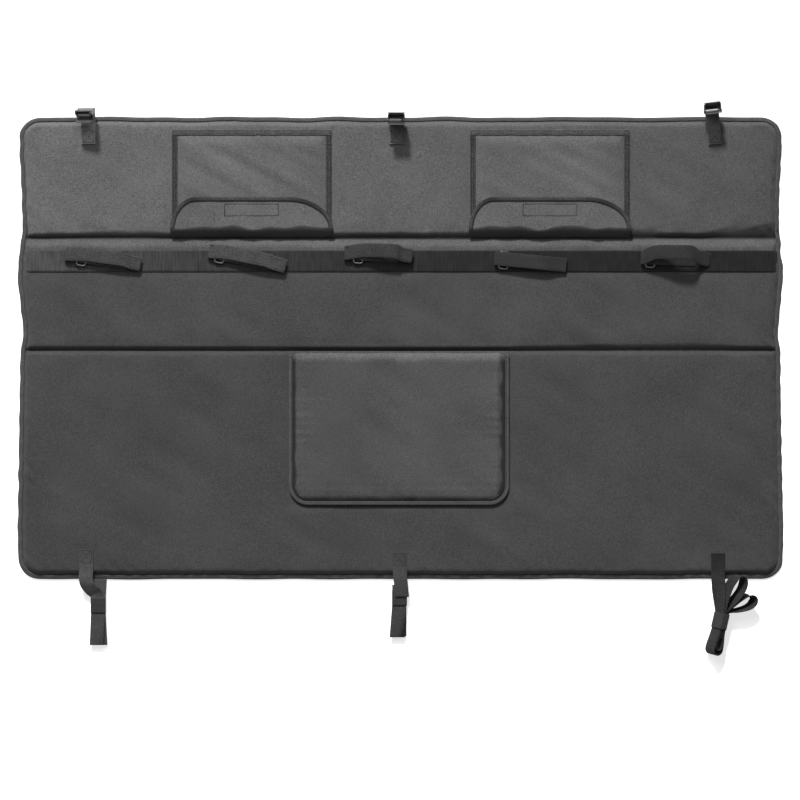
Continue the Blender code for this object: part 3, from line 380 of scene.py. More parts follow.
def cut_window(piece):
    """Cuts the window with a plug of its shape: its rounded outline, carried straight up."""
    ring = rounded_line(*WINDOW, WINDOW_CORNER, WINDOW_CORNER, steps=7)
    levels = np.stack([at_height(ring, z) for z in PLUG_ENDS])
    plug = surface("window_plug", levels, around=True, ends=True)
    opening = piece.modifiers.new("window", "BOOLEAN")
    opening.operation = "DIFFERENCE"
    opening.object = plug
    apply_all(piece)
    bpy.data.objects.remove(plug, do_unlink=True)


def pad_grid(xs, ys, inset):
    """Grid lines fitted to the pad's rounded outline: x is a share of the half width at each y."""
    y = np.repeat(ys[:, None], len(xs), 1)
    corner = CORNER - inset
    half = rounded_half(y, HALF_WIDTH - inset, PAD_BOTTOM + inset, PAD_TOP - inset, corner, corner)
    return np.stack([xs[None, :] / (HALF_WIDTH - inset) * half, y], -1)


BACK_STEP, BACK_SLOPE = 0.0107, 0.0015
back_x = spaced([-HALF_WIDTH + RIM, HALF_WIDTH - RIM], 0.014, 0.005, 0.03)
back_y = spaced([PAD_BOTTOM + RIM, FOLD_B, FOLD_A, PAD_TOP - RIM], 0.014, 0.003, 0.02)
plan = pad_grid(back_x, back_y, RIM)
edge = depth_in(plan[..., 0], plan[..., 1], -HALF_WIDTH, HALF_WIDTH, PAD_BOTTOM, PAD_TOP, CORNER)
lifted = RIM * ramp(BACK_STEP - edge, BACK_SLOPE)
for fold in (FOLD_A, FOLD_B):
    lifted += 0.0009 * bell(plan[..., 1] - fold, 0.003)
lifted += 0.0002 * (1 + ripple(plan[..., 0], 0.11, 21) * ripple(plan[..., 1], 0.13, 22)) * ramp(edge, 0.05)
back = surface("back_sheet", waver(np.dstack([plan, lifted + CLOTH / 2])))
thicken(back, CLOTH)
cut_window(apply_all(back))
pad_cloth_back = cloth_finish("back_cloth", (0.060, 0.060, 0.061))
dress(back, pad_cloth_back, "cloth", "back_cloth")


# Face cloth: coated polyester sewn down at both folds, so that it stands over the foam as three soft
# panels. It is drawn down in a slope at each seam, and the thread gathers it into small puckers.
FACE_TOP = 0.0126
BAND_Y = 0.05865
FACE_RIM = 0.0036
SEAM_IN, SEAM_SLOPE, SEAM_HALF = 0.0085, 0.009, 0.0008
UNDER_A, UNDER_B = 0.0215, 0.008
LARGEST_BULGE, SETTLE_FRAMES = 0.0016, 14
SLOPE_A = ((-0.686, 7), (-0.577, 9), (-0.527, 12), (-0.478, 13), (-0.415, 9), (-0.3, 12), (-0.127, 9),
           (0.0, 10), (0.12, 11), (0.25, 13), (0.412, 18), (0.449, 17), (0.476, 9), (0.539, 9), (0.593, 20),
           (0.686, 25))
SLOPE_B = ((-0.686, 8), (-0.3, 7), (0.0, 6), (0.2, 7), (0.38, 12), (0.53, 14), (0.60, 9), (0.686, 8))


def slope(stops, x):
    """How wide the cloth's slope down to a fold is at each x, in metres: a smooth line through its stops."""
    at, width = np.array(stops).T
    spread = np.linspace(-0.012, 0.012, 5)
    return np.mean([np.interp(x + step, at, width) for step in spread], axis=0) * MILLIMETRE


def rise(distance, width, bend=1.9):
    """From 0 at a seam to 1 at the panel's level: one less a power of what is left of the width."""
    return 1 - (1 - ramp(distance, width)) ** bend


def face_plan(plan):
    """The face cloth's height: the products of its rises from the edge and from both folds, plus puckers."""
    x, y = plan[..., 0], plan[..., 1]
    edge = depth_in(x, y, -HALF_WIDTH, HALF_WIDTH, PAD_BOTTOM, PAD_TOP, CORNER)
    below_a = np.where(y > FOLD_A, slope(SLOPE_A, x), UNDER_A + 0.0015 * ripple(x, 0.06, 30))
    below_b = np.where(y > FOLD_B, slope(SLOPE_B, x), UNDER_B)
    from_a = np.maximum(np.abs(y - FOLD_A) - SEAM_HALF, 0)
    from_b = np.maximum(np.abs(y - FOLD_B) - SEAM_HALF, 0)
    height = rise(edge - SEAM_IN, SEAM_SLOPE) * rise(from_a, below_a, 1.7) * rise(from_b, below_b)
    z = FACE_RIM + (FACE_TOP - CLOTH / 2 - FACE_RIM) * height
    for seed, distance, along in ((31, edge - SEAM_IN, x + y), (32, from_a, x), (33, from_b, x)):
        reach = np.clip(distance, 0, None) / SEAM_SLOPE
        pucker = reach * np.exp(1 - reach)
        z = z + 0.00045 * pucker * ripple(along, 0.019, seed)
    free = ramp(edge - 0.02, 0.04) * (1 - 0.8 * under_pieces(x, y))
    swells = ripple(0.5 * x + 0.85 * y, 0.075, 34) * (0.5 + 0.5 * ripple(x - 0.5 * y, 0.22, 35))
    z = z + 0.0009 * free * swells
    return z, height


def under_pieces(x, y):
    """1 where a band, pocket, flap or strap lies on the face cloth and holds it down, fading over 8 mm."""
    boxes = ((-0.69, 0.69, 0.036, 0.081), (-0.415, -0.121, 0.10, 0.299), (0.121, 0.415, 0.10, 0.299),
             (-0.205, 0.199, -0.384, -0.10), (-0.579, -0.544, 0.264, 0.32), (-0.025, 0.009, 0.264, 0.32),
             (0.548, 0.582, 0.264, 0.32), (-0.586, -0.551, -0.52, -0.455), (-0.02, 0.015, -0.52, -0.455),
             (0.553, 0.588, -0.52, -0.455))
    held = np.zeros_like(x)
    for left, right, low, high in boxes:
        inside = np.minimum(np.minimum(x - left, right - x), np.minimum(y - low, high - y))
        held = np.maximum(held, ramp(inside / 0.008 + 1))
    return held


def settle(points, pinned, shrink):
    """Lets a sheet of cloth find its own puckers: held along its seams and cut a little too large."""
    sheet = surface("settling", points)
    group = sheet.vertex_groups.new(name="held")
    group.add(np.flatnonzero(pinned.ravel()).tolist(), 1.0, "REPLACE")
    cloth = sheet.modifiers.new("cloth", "CLOTH")
    cloth.settings.vertex_group_mass = "held"
    cloth.settings.quality = 4
    cloth.settings.mass = 0.25
    cloth.settings.bending_stiffness = 1.5
    cloth.settings.shrink_min = shrink
    cloth.settings.use_pressure = True
    cloth.settings.uniform_pressure_force = 0.6
    cloth.settings.effector_weights.gravity = 0.0
    cloth.collision_settings.use_collision = False
    scene = bpy.context.scene
    for step in range(1, SETTLE_FRAMES + 1):
        scene.frame_set(step)
    graph = bpy.context.evaluated_depsgraph_get()
    moved = sheet.evaluated_get(graph).to_mesh()
    found = np.empty(len(moved.vertices) * 3)
    moved.vertices.foreach_get("co", found)
    bpy.data.objects.remove(sheet, do_unlink=True)
    scene.frame_set(1)
    return found.reshape(points.shape) - points


def spread(coarse, rows, cols, fine_rows, fine_cols):
    """Carries moves from a coarse grid to a fine one, by straight lines down and then across."""
    down = [[np.interp(fine_rows, rows, coarse[:, c, k]) for c in range(len(cols))] for k in range(3)]
    down = np.swapaxes(np.stack(down, -1), 0, 1)
    return np.stack([[np.interp(fine_cols, cols, line[:, k]) for line in down] for k in range(3)], -1)


face_x = spaced([-HALF_WIDTH + RIM, HALF_WIDTH - RIM], 0.006, 0.0022, 0.026)
face_y = spaced([PAD_BOTTOM + RIM, FOLD_B, FOLD_A, PAD_TOP - RIM], 0.006, 0.0018, 0.026)
plan = pad_grid(face_x, face_y, RIM)
level, height = face_plan(plan)
moves = np.zeros((*level.shape, 3))
loose_x = spaced([-HALF_WIDTH + RIM, HALF_WIDTH - RIM], 0.0085, 0.006, 0.02)
loose_y = spaced([PAD_BOTTOM + RIM, FOLD_B, FOLD_A, PAD_TOP - RIM], 0.0085, 0.006, 0.02)
loose_plan = pad_grid(loose_x, loose_y, RIM)
loose_z, loose_height = face_plan(loose_plan)
bulge = settle(np.dstack([loose_plan, loose_z]), loose_height < 0.02, -0.006)
size = np.linalg.norm(bulge, axis=-1, keepdims=True)
free = 1 - 0.9 * under_pieces(loose_plan[..., 0], loose_plan[..., 1])
bulge *= LARGEST_BULGE / (LARGEST_BULGE + size) * free[..., None]
moves = spread(bulge, loose_y, loose_x, face_y, face_x)
face = surface("padded_face", waver(np.dstack([plan, level]) + moves))
# Painted shade on the face cloth: thin dark lines along both fold seams, darker cloth on the low slopes by
# the folds, most where they face away from the light, and a painted shadow above fold A towards the right
# end.
SHADE_LINE_A, SHADE_LINE_B = 0.0022, 0.0013
# How far up from fold A the painted shadow reaches at each x, in metres; the cloth itself does not sink
# there.
PAINTED_SHADOW_A = ((0.41, 0.0), (0.425, 0.015), (0.46, 0.006), (0.53, 0.005), (0.60, 0.013), (0.64, 0.025),
        (0.672, 0.031))
x, y = plan[..., 0], plan[..., 1]
facing_away = np.where(y > FOLD_A, 1.0, np.where((y > FOLD_B) & (y < 0), 0.50, 0.25))
lower = 0.0014 * ramp(0.45 - np.abs(x), 0.05)
shade_line = np.maximum(bell(y - FOLD_A + lower, SHADE_LINE_A, 4), bell(y - FOLD_B, SHADE_LINE_B, 4))
near_fold = ramp(1.6 - np.minimum(np.abs(y - FOLD_A), np.abs(y - FOLD_B)) / 0.02)
dark = np.maximum(ramp(1.1 - 1.25 * height) * facing_away * near_fold, shade_line)
painted_shadow_a = ramp(np.interp(x, *np.transpose(PAINTED_SHADOW_A)) - (y - FOLD_A), 0.006) * (y > FOLD_A)
darken(face, np.maximum(dark, 0.62 * painted_shadow_a))
thicken(face, CLOTH, -1.0)
cut_window(apply_all(face))
# Painted light and shade: each band is a lighter or darker copy of the cloth that stands in for how the
# light falls, as on the bright ridge below fold A and on the inner panel, lit more at its left. Each band
# from below: where it starts in Y, its tone, how sharply it starts, how far that line wanders and the tone
# at its right edge. The lowest panel has the colour that is given first.
PAINTED_PANEL_LIGHT = (
    (FOLD_B, 0.045, 400.0, 0.0, 0.047),
    (BAND_Y, 0.062, 400.0, 0.0, 0.062),
    (0.0860, 0.084, 160.0, 0.006, 0.084),
    (0.0970, 0.066, 400.0, 0.002, 0.066),
    (FOLD_A, 0.107, 400.0, 0.0, 0.066),
)
face_finish = cloth_finish("face_cloth", (0.042, 0.042, 0.0425), PAINTED_PANEL_LIGHT, crease=True)
dress(face, face_finish, "cloth", "face_cloth", "foam_inner", "foam_top", "foam_outer")


# Window binding: a strip of woven tape folded over the raw edges of the window and sewn through all
# layers. It is hidden behind the camera flap.
WINDOW_BINDING = 0.011


def run_of(line):
    """The distance along a line of points, from 0 at its start."""
    return np.r_[0, np.cumsum(np.linalg.norm(np.diff(line, axis=0), axis=1))]


def lay_of(run, over):
    """The lay of a tape, for its material: the distance along it and the distance across."""
    return np.stack(np.meshgrid(run, over, indexing="ij"), -1)


def ringed(line):
    return np.concatenate([line, line[:1]])


def evenly(points, step, closed=False):
    """Points at equal steps along a line: its running length is shared out and read back."""
    points = np.asarray(points, dtype=float)
    if closed:
        points = ringed(points)
    run = run_of(points)
    count = max(2, int(round(run[-1] / step)))
    at = np.linspace(0, run[-1], count, endpoint=not closed)
    return np.stack([np.interp(at, run, points[:, k]) for k in range(points.shape[1])], -1)


def unit(vectors):
    return vectors / np.maximum(np.linalg.norm(vectors, axis=-1, keepdims=True), 1e-12)


def inward(line, closed=False):
    """The direction in from an anticlockwise line, a quarter turn left of the way it runs."""
    if closed:
        way = np.roll(line, -1, axis=0) - np.roll(line, 1, axis=0)
    else:
        way = np.gradient(line, axis=0)
    return unit(np.stack([-way[:, 1], way[:, 0]], -1))


def folded_section(reach, low, high, thickness, nose=0.0, droop=0.0):
    """Tape folded over an edge: pairs of inset and height round the outside, then back along the inside.

    Its top droops towards the fold, in proportion to the height and to the distance from its inner edge.
    """
    turn = np.linspace(np.pi / 2, 1.5 * np.pi, 9)
    middle, half = (low + high) / 2, (high - low) / 2
    bend = min(half, 0.0022)
    outer = [(reach, high), (reach * 0.55, high + 0.0001)]
    outer += [(nose + bend + bend * np.cos(a), middle + half * np.sin(a)) for a in turn]
    outer += [(reach * 0.55, low - 0.0001), (reach, low)]
    inner = [(reach, low + thickness), (nose + bend, low + thickness), (nose + thickness, middle),
             (nose + bend, high - thickness), (reach, high - thickness)]
    section = np.array(outer + inner)
    section[:, 1] -= droop * (1 - section[:, 0] / reach) * np.clip(section[:, 1] / high, 0, 1)
    return section


def tape_round(name, line, section, closed, lift=None, flip=False):
    """Sweeps a section of inset and height along a line; lift adds a height at each point of the line."""
    side = inward(line, closed) * (-1 if flip else 1)
    flat = line[:, None] + side[:, None] * section[None, :, :1]
    high = np.broadcast_to(section[None, :, 1], flat.shape[:2]).copy()
    if lift is not None:
        high += lift[:, None]
    points = np.dstack([flat, high])
    uv = lay_of(run_of(ringed(line) if closed else line), run_of(ringed(section)))
    if flip:
        points, uv = points[:, ::-1], uv[:, ::-1]
    return surface(name, points, uv, around=True, along=closed, ends=not closed)


def ribbed_finish(name, colour, rib, mottle, knots=0.6, chevron=0.0, shine=0.25, painted_shade_right=None, stretch=1.0,
                  crease=False):
    """Woven tape or webbing on its own lay: ribs across it, in chevrons where wanted, with a thread's grain.

    The ribs are a sine of the distance along the tape plus the distance from its centre line.
    painted_shade_right is the colour at the pad's right edge: painted light, lighter at the left and shaded
    towards the right; stretch draws the knots out across the tape; crease darkens by the mesh's own
    attribute.
    """
    made = Finish(name)
    place = made.node("TexCoord", out=3)
    run, over, _ = made.axes(made.node("TexCoord", out=2))
    ribs = (run + over.math("ABSOLUTE") * chevron).wave(rib)
    threads = over.wave(rib * 0.8)
    where = made.node("CombineXYZ", sockets={0: run * 2.0, 1: over})
    grain = made.noise(where, 520.0, 3.0, 0.65) - 0.5
    clouds = made.noise(place, 45.0, 2.0) - 0.5
    coarse = made.noise(made.node("CombineXYZ", sockets={0: run, 1: over * stretch}), 290.0, 1.0) - 0.5
    shade = (ribs * 0.20 + threads * 0.08 + grain * 1.7 + coarse * knots + clouds * 0.8 + 0.5).clamped()
    paint = made.mottled(shade, colour, mottle)
    if painted_shade_right:
        x, _, _ = made.axes(place)
        share = (x * (1 / (2 * HALF_WIDTH)) + 0.5).clamped()
        paint = made.mix(1.0 - (1.0 - share).math("POWER", 3.0), paint, made.mottled(shade, painted_shade_right, mottle))
    if crease:
        paint = made.creased(paint, colour, 0.12)
    return made.coat({"Base Color": paint, "Roughness": 0.72 + 0.25 * grain, "Specular IOR Level": shine,
                      "Sheen Weight": 0.06}, 0.5, 0.00022, ribs + threads * 0.5 + grain * 1.2)


tape_finish = ribbed_finish("edge_tape", (0.057, 0.057, 0.058), rib=0.0012, mottle=0.4, knots=1.6)
line = evenly(rounded_line(*WINDOW, WINDOW_CORNER, WINDOW_CORNER), 0.004, closed=True)
binding = folded_section(WINDOW_BINDING, 0.0002, FACE_TOP + 0.0006, 0.0007, nose=-0.0008)
dress(tape_round("window_binding", line, binding, True, flip=True), tape_finish, "tape")


# Edge tape: a woven strip folded over the raw edges of the face and back cloths all the way round,
# and sewn through with a row of stitches near its inner edge, which pulls it into small waves.
TAPE_REACH, TAPE_TOP, TAPE_STEP = 0.0083, 0.0049, 0.0035
STITCH, STITCH_GAP, STITCH_TALL, STITCH_INSET = 0.0027, 0.0011, 0.0007, 0.0064
thread_finish = ribbed_finish("thread", (0.10, 0.10, 0.10), rib=0.0004, mottle=0.3)


def sew(name, rows, finish, wide=0.0008):
    """Stitches along rows of points: each is a grain of thread, two tips and two rings of four."""
    centres, ways = [], []
    for row in rows:
        at = evenly(row, STITCH + STITCH_GAP)
        centres.append((at[1:] + at[:-1]) / 2)
        ways.append(unit(np.diff(at, axis=0)))
    centre, way = np.concatenate(centres)[:, None], np.concatenate(ways)[:, None]
    side = unit(np.cross(way, (0.0, 0.0, 1.0)))
    down = np.cross(way, side)
    angle = np.arange(4) * np.pi / 2
    out_by, down_by = (np.cos(angle) * wide / 2)[:, None], (np.sin(angle) * STITCH_TALL / 2)[:, None]
    ring = side * out_by + down * down_by
    reach = way * STITCH / 2
    points = np.concatenate([centre - reach, centre - reach * 0.6 + ring, centre + reach * 0.6 + ring,
                             centre + reach], 1).reshape(-1, 3)
    faces = [(0, 1 + (j + 1) % 4, 1 + j) for j in range(4)]
    faces += [(1 + j, 1 + (j + 1) % 4, 5 + (j + 1) % 4, 5 + j) for j in range(4)]
    faces += [(9, 5 + j, 5 + (j + 1) % 4) for j in range(4)]
    full = [tuple(10 * k + i for i in f) for k in range(len(centre)) for f in faces]
    mesh = bpy.data.meshes.new(name)
    mesh.from_pydata(points.tolist(), [], full)
    mesh.polygons.foreach_set("use_smooth", np.ones(len(full), dtype=bool))
    made = bpy.data.objects.new(name, mesh)
    bpy.context.scene.collection.objects.link(made)
    return dress(made, finish, "tape")


pad_line = rounded_line(-HALF_WIDTH, HALF_WIDTH, PAD_BOTTOM, PAD_TOP, CORNER, CORNER)
pad_line = evenly(pad_line, TAPE_STEP, closed=True)
run = np.arange(len(pad_line)) * TAPE_STEP
section = folded_section(TAPE_REACH, 0.0001, TAPE_TOP, 0.0009, droop=0.0016)
side = inward(pad_line, closed=True)
reach = 1 + 0.05 * ripple(run, 0.021, 41)
flat = pad_line[:, None] + side[:, None] * (section[None, :, :1] * reach[:, None, None])
high = section[None, :, 1] + ramp(section[None, :, 1] - 0.002) * 0.10 * ripple(run, 0.017, 42)[:, None]
uv = lay_of(np.arange(len(pad_line) + 1) * TAPE_STEP, run_of(ringed(section)))
edging = surface("edge_binding", waver(np.dstack([flat, high])), uv, around=True, along=True)
dress(edging, tape_finish, "tape", "edge_tape")
rows = [waver(at_height(pad_line + side * STITCH_INSET, z)) for z in (TAPE_TOP + 0.0001, 0.0)]
sew("edge_stitches", [ringed(row) for row in rows], thread_finish)


# Camera flap: a thin padded flap over the window, sewn in with the seam at the fold. Its face is cloth
# over 6 mm foam, its lining is plain cloth, and tape binds the three free sides.
FLAP_LEFT, FLAP_RIGHT, FLAP_LOW, FLAP_HINGE = -0.2012, 0.1948, -0.37985, -0.10385
FLAP_CORNER = 0.035
LINING_Z, FLAP_RIM_Z, FLAP_FACE_Z = 0.0159, 0.0170, 0.0233
FLAP_CLOTH, FLAP_TAPE, FLAP_INSET = 0.0008, 0.0068, 0.0009
FLAP_SEAM_Z, FLAP_ROLL = 0.0121, 0.012
# Widths of the painted shade line just inside the flap's tape: at the bottom, left and right.
SHADE_LINE_LOW, SHADE_LINE_LEFT, SHADE_LINE_RIGHT = 0.0044, 0.0062, 0.0084
FLAP_STITCH_IN, FLAP_STITCH_Z = 0.0052, 0.0184


def flap_grid(step):
    """Grid lines fitted to the flap's rounded lower corners, as the pad's are to its own."""
    centre, half = (FLAP_LEFT + FLAP_RIGHT) / 2, (FLAP_RIGHT - FLAP_LEFT) / 2 - FLAP_INSET
    xs = spaced([-half, half], step, 0.0017, 0.024)
    ys = spaced([FLAP_LOW + FLAP_INSET, FLAP_HINGE], step, 0.0017, 0.03)
    y = np.repeat(ys[:, None], len(xs), 1)
    width = rounded_half(y, half, FLAP_LOW + FLAP_INSET, 1.0, FLAP_CORNER - FLAP_INSET, 0.001)
    return np.stack([centre + xs[None, :] / half * width, y], -1)


plan = flap_grid(0.004)
x, y = plan[..., 0], plan[..., 1]
free = depth_in(x, y, FLAP_LEFT, FLAP_RIGHT, FLAP_LOW, 0.3, FLAP_CORNER)
free_in = free - FLAP_TAPE
hinge = FLAP_HINGE - y
puff = rise(free_in, 0.019 + 0.002 * ripple(x + y, 0.09, 51))
puff = puff * rise(hinge, 0.017 + 0.002 * ripple(x, 0.1, 52))
z = FLAP_RIM_Z + (FLAP_FACE_Z - FLAP_RIM_Z) * puff
drop = ramp(1 - hinge / FLAP_ROLL) ** 1.4
z = z - drop * (FLAP_RIM_Z - FLAP_SEAM_Z) * ramp(1 - puff)
PUCKERS = ((53, free_in, x, 0.0006), (54, free_in, y, 0.0004), (55, hinge, x, 0.0004))
for seed, distance, along, size in PUCKERS:
    reach = np.clip(distance, 0, None) / 0.011
    z = z + size * reach * np.exp(1 - reach) * ripple(along, 0.021, seed)
z = z + 0.0009 * puff * ripple(0.5 * x + 0.8 * y, 0.07, 56) * (0.5 + 0.5 * ripple(x, 0.2, 57))
flap = surface("camera_flap_padding", np.dstack([plan, z]))
# Painted shade on the flap: darker where the cloth drops into the hinge seam, and a dark line just inside the
# tape, widest on the right, that stands in for the shade there.
dark = ramp(0.5 - 1.2 * puff) * ramp(1 - hinge / 0.02)
aside = (FLAP_RIGHT - FLAP_LEFT) / 2 - np.abs(x - (FLAP_LEFT + FLAP_RIGHT) / 2) < y - FLAP_LOW
shade_line = np.where(aside, np.where(x < 0, SHADE_LINE_LEFT, SHADE_LINE_RIGHT), SHADE_LINE_LOW)
shade_line = shade_line * (1 + 0.22 * ripple(x + y, 0.05, 58))
darken(flap, np.maximum(dark, ramp(hinge, 0.02) * bell(ramp(free_in), shade_line, 6)))
thicken(flap, FLAP_CLOTH, -1.0)
apply_all(flap)
# Painted highlight: the flap's strip by the hinge is painted lighter than the rest, most at its left, as if
# lit from the upper left.
HINGE_PAINTED_HIGHLIGHT = (-0.1205, 0.086, 130.0, 0.016, 0.080)
flap_finish = cloth_finish("camera_flap_cloth", (0.059, 0.059, 0.0595), [HINGE_PAINTED_HIGHLIGHT], crease=True)
dress(flap, flap_finish, "cloth", "camera_flap_face", "camera_flap_foam")

plan = flap_grid(0.012)
lining = surface("camera_flap_underside", np.dstack([plan, np.full(plan.shape[:2], LINING_Z)]))
apply_all(thicken(lining, FLAP_CLOTH))
dress(lining, pad_cloth_back, "cloth", "camera_flap_lining")

flap_top = FLAP_HINGE - 0.006
flap_line = rounded_line(FLAP_LEFT, FLAP_RIGHT, FLAP_LOW, flap_top, FLAP_CORNER, 0.0, open_top=True)
flap_line = evenly(flap_line, 0.003)
section = folded_section(FLAP_TAPE, 0.0147, 0.0182, 0.0006)
dress(tape_round("camera_flap_binding", flap_line, section, False), tape_finish, "tape", "camera_flap_tape")
dark_thread = ribbed_finish("dark_thread", (0.006, 0.006, 0.006), rib=0.0004, mottle=0.3)
row = at_height(flap_line + inward(flap_line) * FLAP_STITCH_IN, FLAP_STITCH_Z)
sew("camera_flap_stitches", [row], dark_thread, wide=0.0012)


def ribbon(name, centres, across, width=0.025, thickness=0.0014, steps=4):
    """Webbing along a path: a flat section with rounded edges, set square to the path at each point.

    An extra point 0.4 mm from each end keeps the cut ends crisp.
    """
    centres = np.asarray(centres, dtype=float)
    across = np.broadcast_to(np.asarray(across, dtype=float), centres.shape)
    first, last = (0.0004 / np.linalg.norm(centres[a] - centres[b]) for a, b in ((0, 1), (-1, -2)))
    centres, across = (np.concatenate([
        line[:1], line[:1] + (line[1:2] - line[:1]) * first, line[1:-1],
        line[-1:] + (line[-2:-1] - line[-1:]) * last, line[-1:]]) for line in (centres, across))
    along = unit(np.gradient(centres, axis=0))
    across = unit(across - along * np.sum(along * across, -1, keepdims=True))
    normal = np.cross(along, across)
    half, bend = width / 2, thickness / 2
    turn = np.linspace(-np.pi / 2, np.pi / 2, 5)
    right = np.stack([half - bend + bend * np.cos(turn), bend * np.sin(turn)], -1)
    flat = np.linspace(half - bend, bend - half, steps + 2)[1:-1]
    upper = np.c_[flat, np.full(steps, bend)]
    ring = np.concatenate([right, upper, -right, -upper])
    points = centres[:, None] + across[:, None] * ring[None, :, :1] + normal[:, None] * ring[None, :, 1:]
    uv = lay_of(run_of(centres), ringed(ring)[:, 0])
    return surface(name, points, uv, around=True, ends=True)


grip_finish = ribbed_finish("grip_strip", (0.035, 0.035, 0.036), rib=0.0016, mottle=0.5)
GRIP, GAP = 0.0007, 0.0003
GRIP_X, GRIP_Y, GRIP_HALF, GRIP_WIDE = -0.0032, -0.35085, 0.110, 0.022


def grip_strip(piece, kind, x, y, z, half, wide):
    """A strip of hook or loop tape, from x - half to x + half at one height."""
    centres = evenly([(x - half, y, z), (x + half, y, z)], 0.02)
    strip = ribbon(f"{piece}_{kind}_grip", centres, (0, 1, 0), wide, GRIP)
    dress(strip, grip_finish, "grip", f"{piece}_{kind}_strip")


for kind, z in (("hook", LINING_Z - FLAP_CLOTH / 2 - GAP - GRIP / 2), ("loop", FACE_TOP + GAP + GRIP / 2)):
    grip_strip("camera_flap", kind, GRIP_X, GRIP_Y, z, GRIP_HALF, GRIP_WIDE)


# Pockets: two cloth pockets on the inner panel, hemmed at the top and sides, open towards the fold.
# A rounded flap, bound with tape, comes out of the fold and closes over the mouth with a grip strip.
POCKET_HALF, POCKET_MOUTH, POCKET_TOP = 0.1435, 0.12135, 0.29535
POCKET_RIM_Z, POCKET_Z, POCKET_FLAP_Z = 0.0133, 0.0184, 0.0218
POCKET_CLOTH, HEM_WIDE = 0.0008, 0.0108
SIDE_TAPE, HEM_IN = 0.0052, 0.0052
FLAP_START, FLAP_LOW_Z = FOLD_A + 0.0012, 0.0075
FLAP_UP, FLAP_OVER, COVER_INSET = 0.0695, 0.0025, 0.0009
ROUND_LEFT, ROUND_RIGHT = (0.046, 0.058), (0.082, 0.056)
POCKET_GRIP_Y, POCKET_GRIP_HALF, POCKET_GRIP_WIDE = 0.15075, 0.0485, 0.021
SIDE_SEAM_LOW = POCKET_MOUTH + 0.020
SIDE_TAPES = ((-1, "left", SIDE_SEAM_LOW), (1, "right", POCKET_MOUTH - 0.014))
pocket_finish = cloth_finish("pocket_cloth", (0.094, 0.094, 0.095))
pocket_flap_finish = cloth_finish("pocket_flap_cloth", (0.096, 0.096, 0.097), crease=True)
pocket_tape_finish = ribbed_finish("pocket_tape", (0.030, 0.030, 0.031), rib=0.0018, mottle=0.75, knots=3.0)
flap_tape_finish = ribbed_finish("pocket_flap_tape", (0.032, 0.032, 0.033), rib=0.0018, mottle=0.7, knots=2.5,
                                 crease=True)
hem_finish = ribbed_finish("pocket_hem", (0.062, 0.062, 0.063), rib=0.0018, mottle=0.5, knots=2.0)


def flap_outline(centre, inset):
    """Up the left side, round two elliptical corners and down the right, clockwise from the fold."""
    left, right = centre - POCKET_HALF - FLAP_OVER, centre + POCKET_HALF + FLAP_OVER
    low, top = FOLD_A + 0.003, FOLD_A + 0.003 + FLAP_UP
    turn = np.linspace(0, np.pi / 2, 15)
    c, s = np.cos(turn), np.sin(turn)
    (wide_a, tall_a), (wide_b, tall_b) = ROUND_LEFT, ROUND_RIGHT
    first = np.stack([left + wide_a - (wide_a - inset) * c, top - tall_a + (tall_a - inset) * s], -1)
    second = np.stack([right - wide_b + (wide_b - inset) * s, top - tall_b + (tall_b - inset) * c], -1)
    return np.concatenate([[(left + inset, low)], first, second, [(right - inset, low)]])


def flap_share(y, x, seed):
    """How far up its front slope the pocket flap is: a share of the first 14 to 21 mm from the fold."""
    return ramp(y - FLAP_START, 0.0175 + 0.0032 * ripple(x + 0 * y, 0.085, seed))


def flap_lift(y, x=0.0, seed=0):
    """The pocket flap's height: a quarter sine of that share."""
    return FLAP_LOW_Z + (POCKET_FLAP_Z - FLAP_LOW_Z) * np.sin(flap_share(y, x, seed) * np.pi / 2)


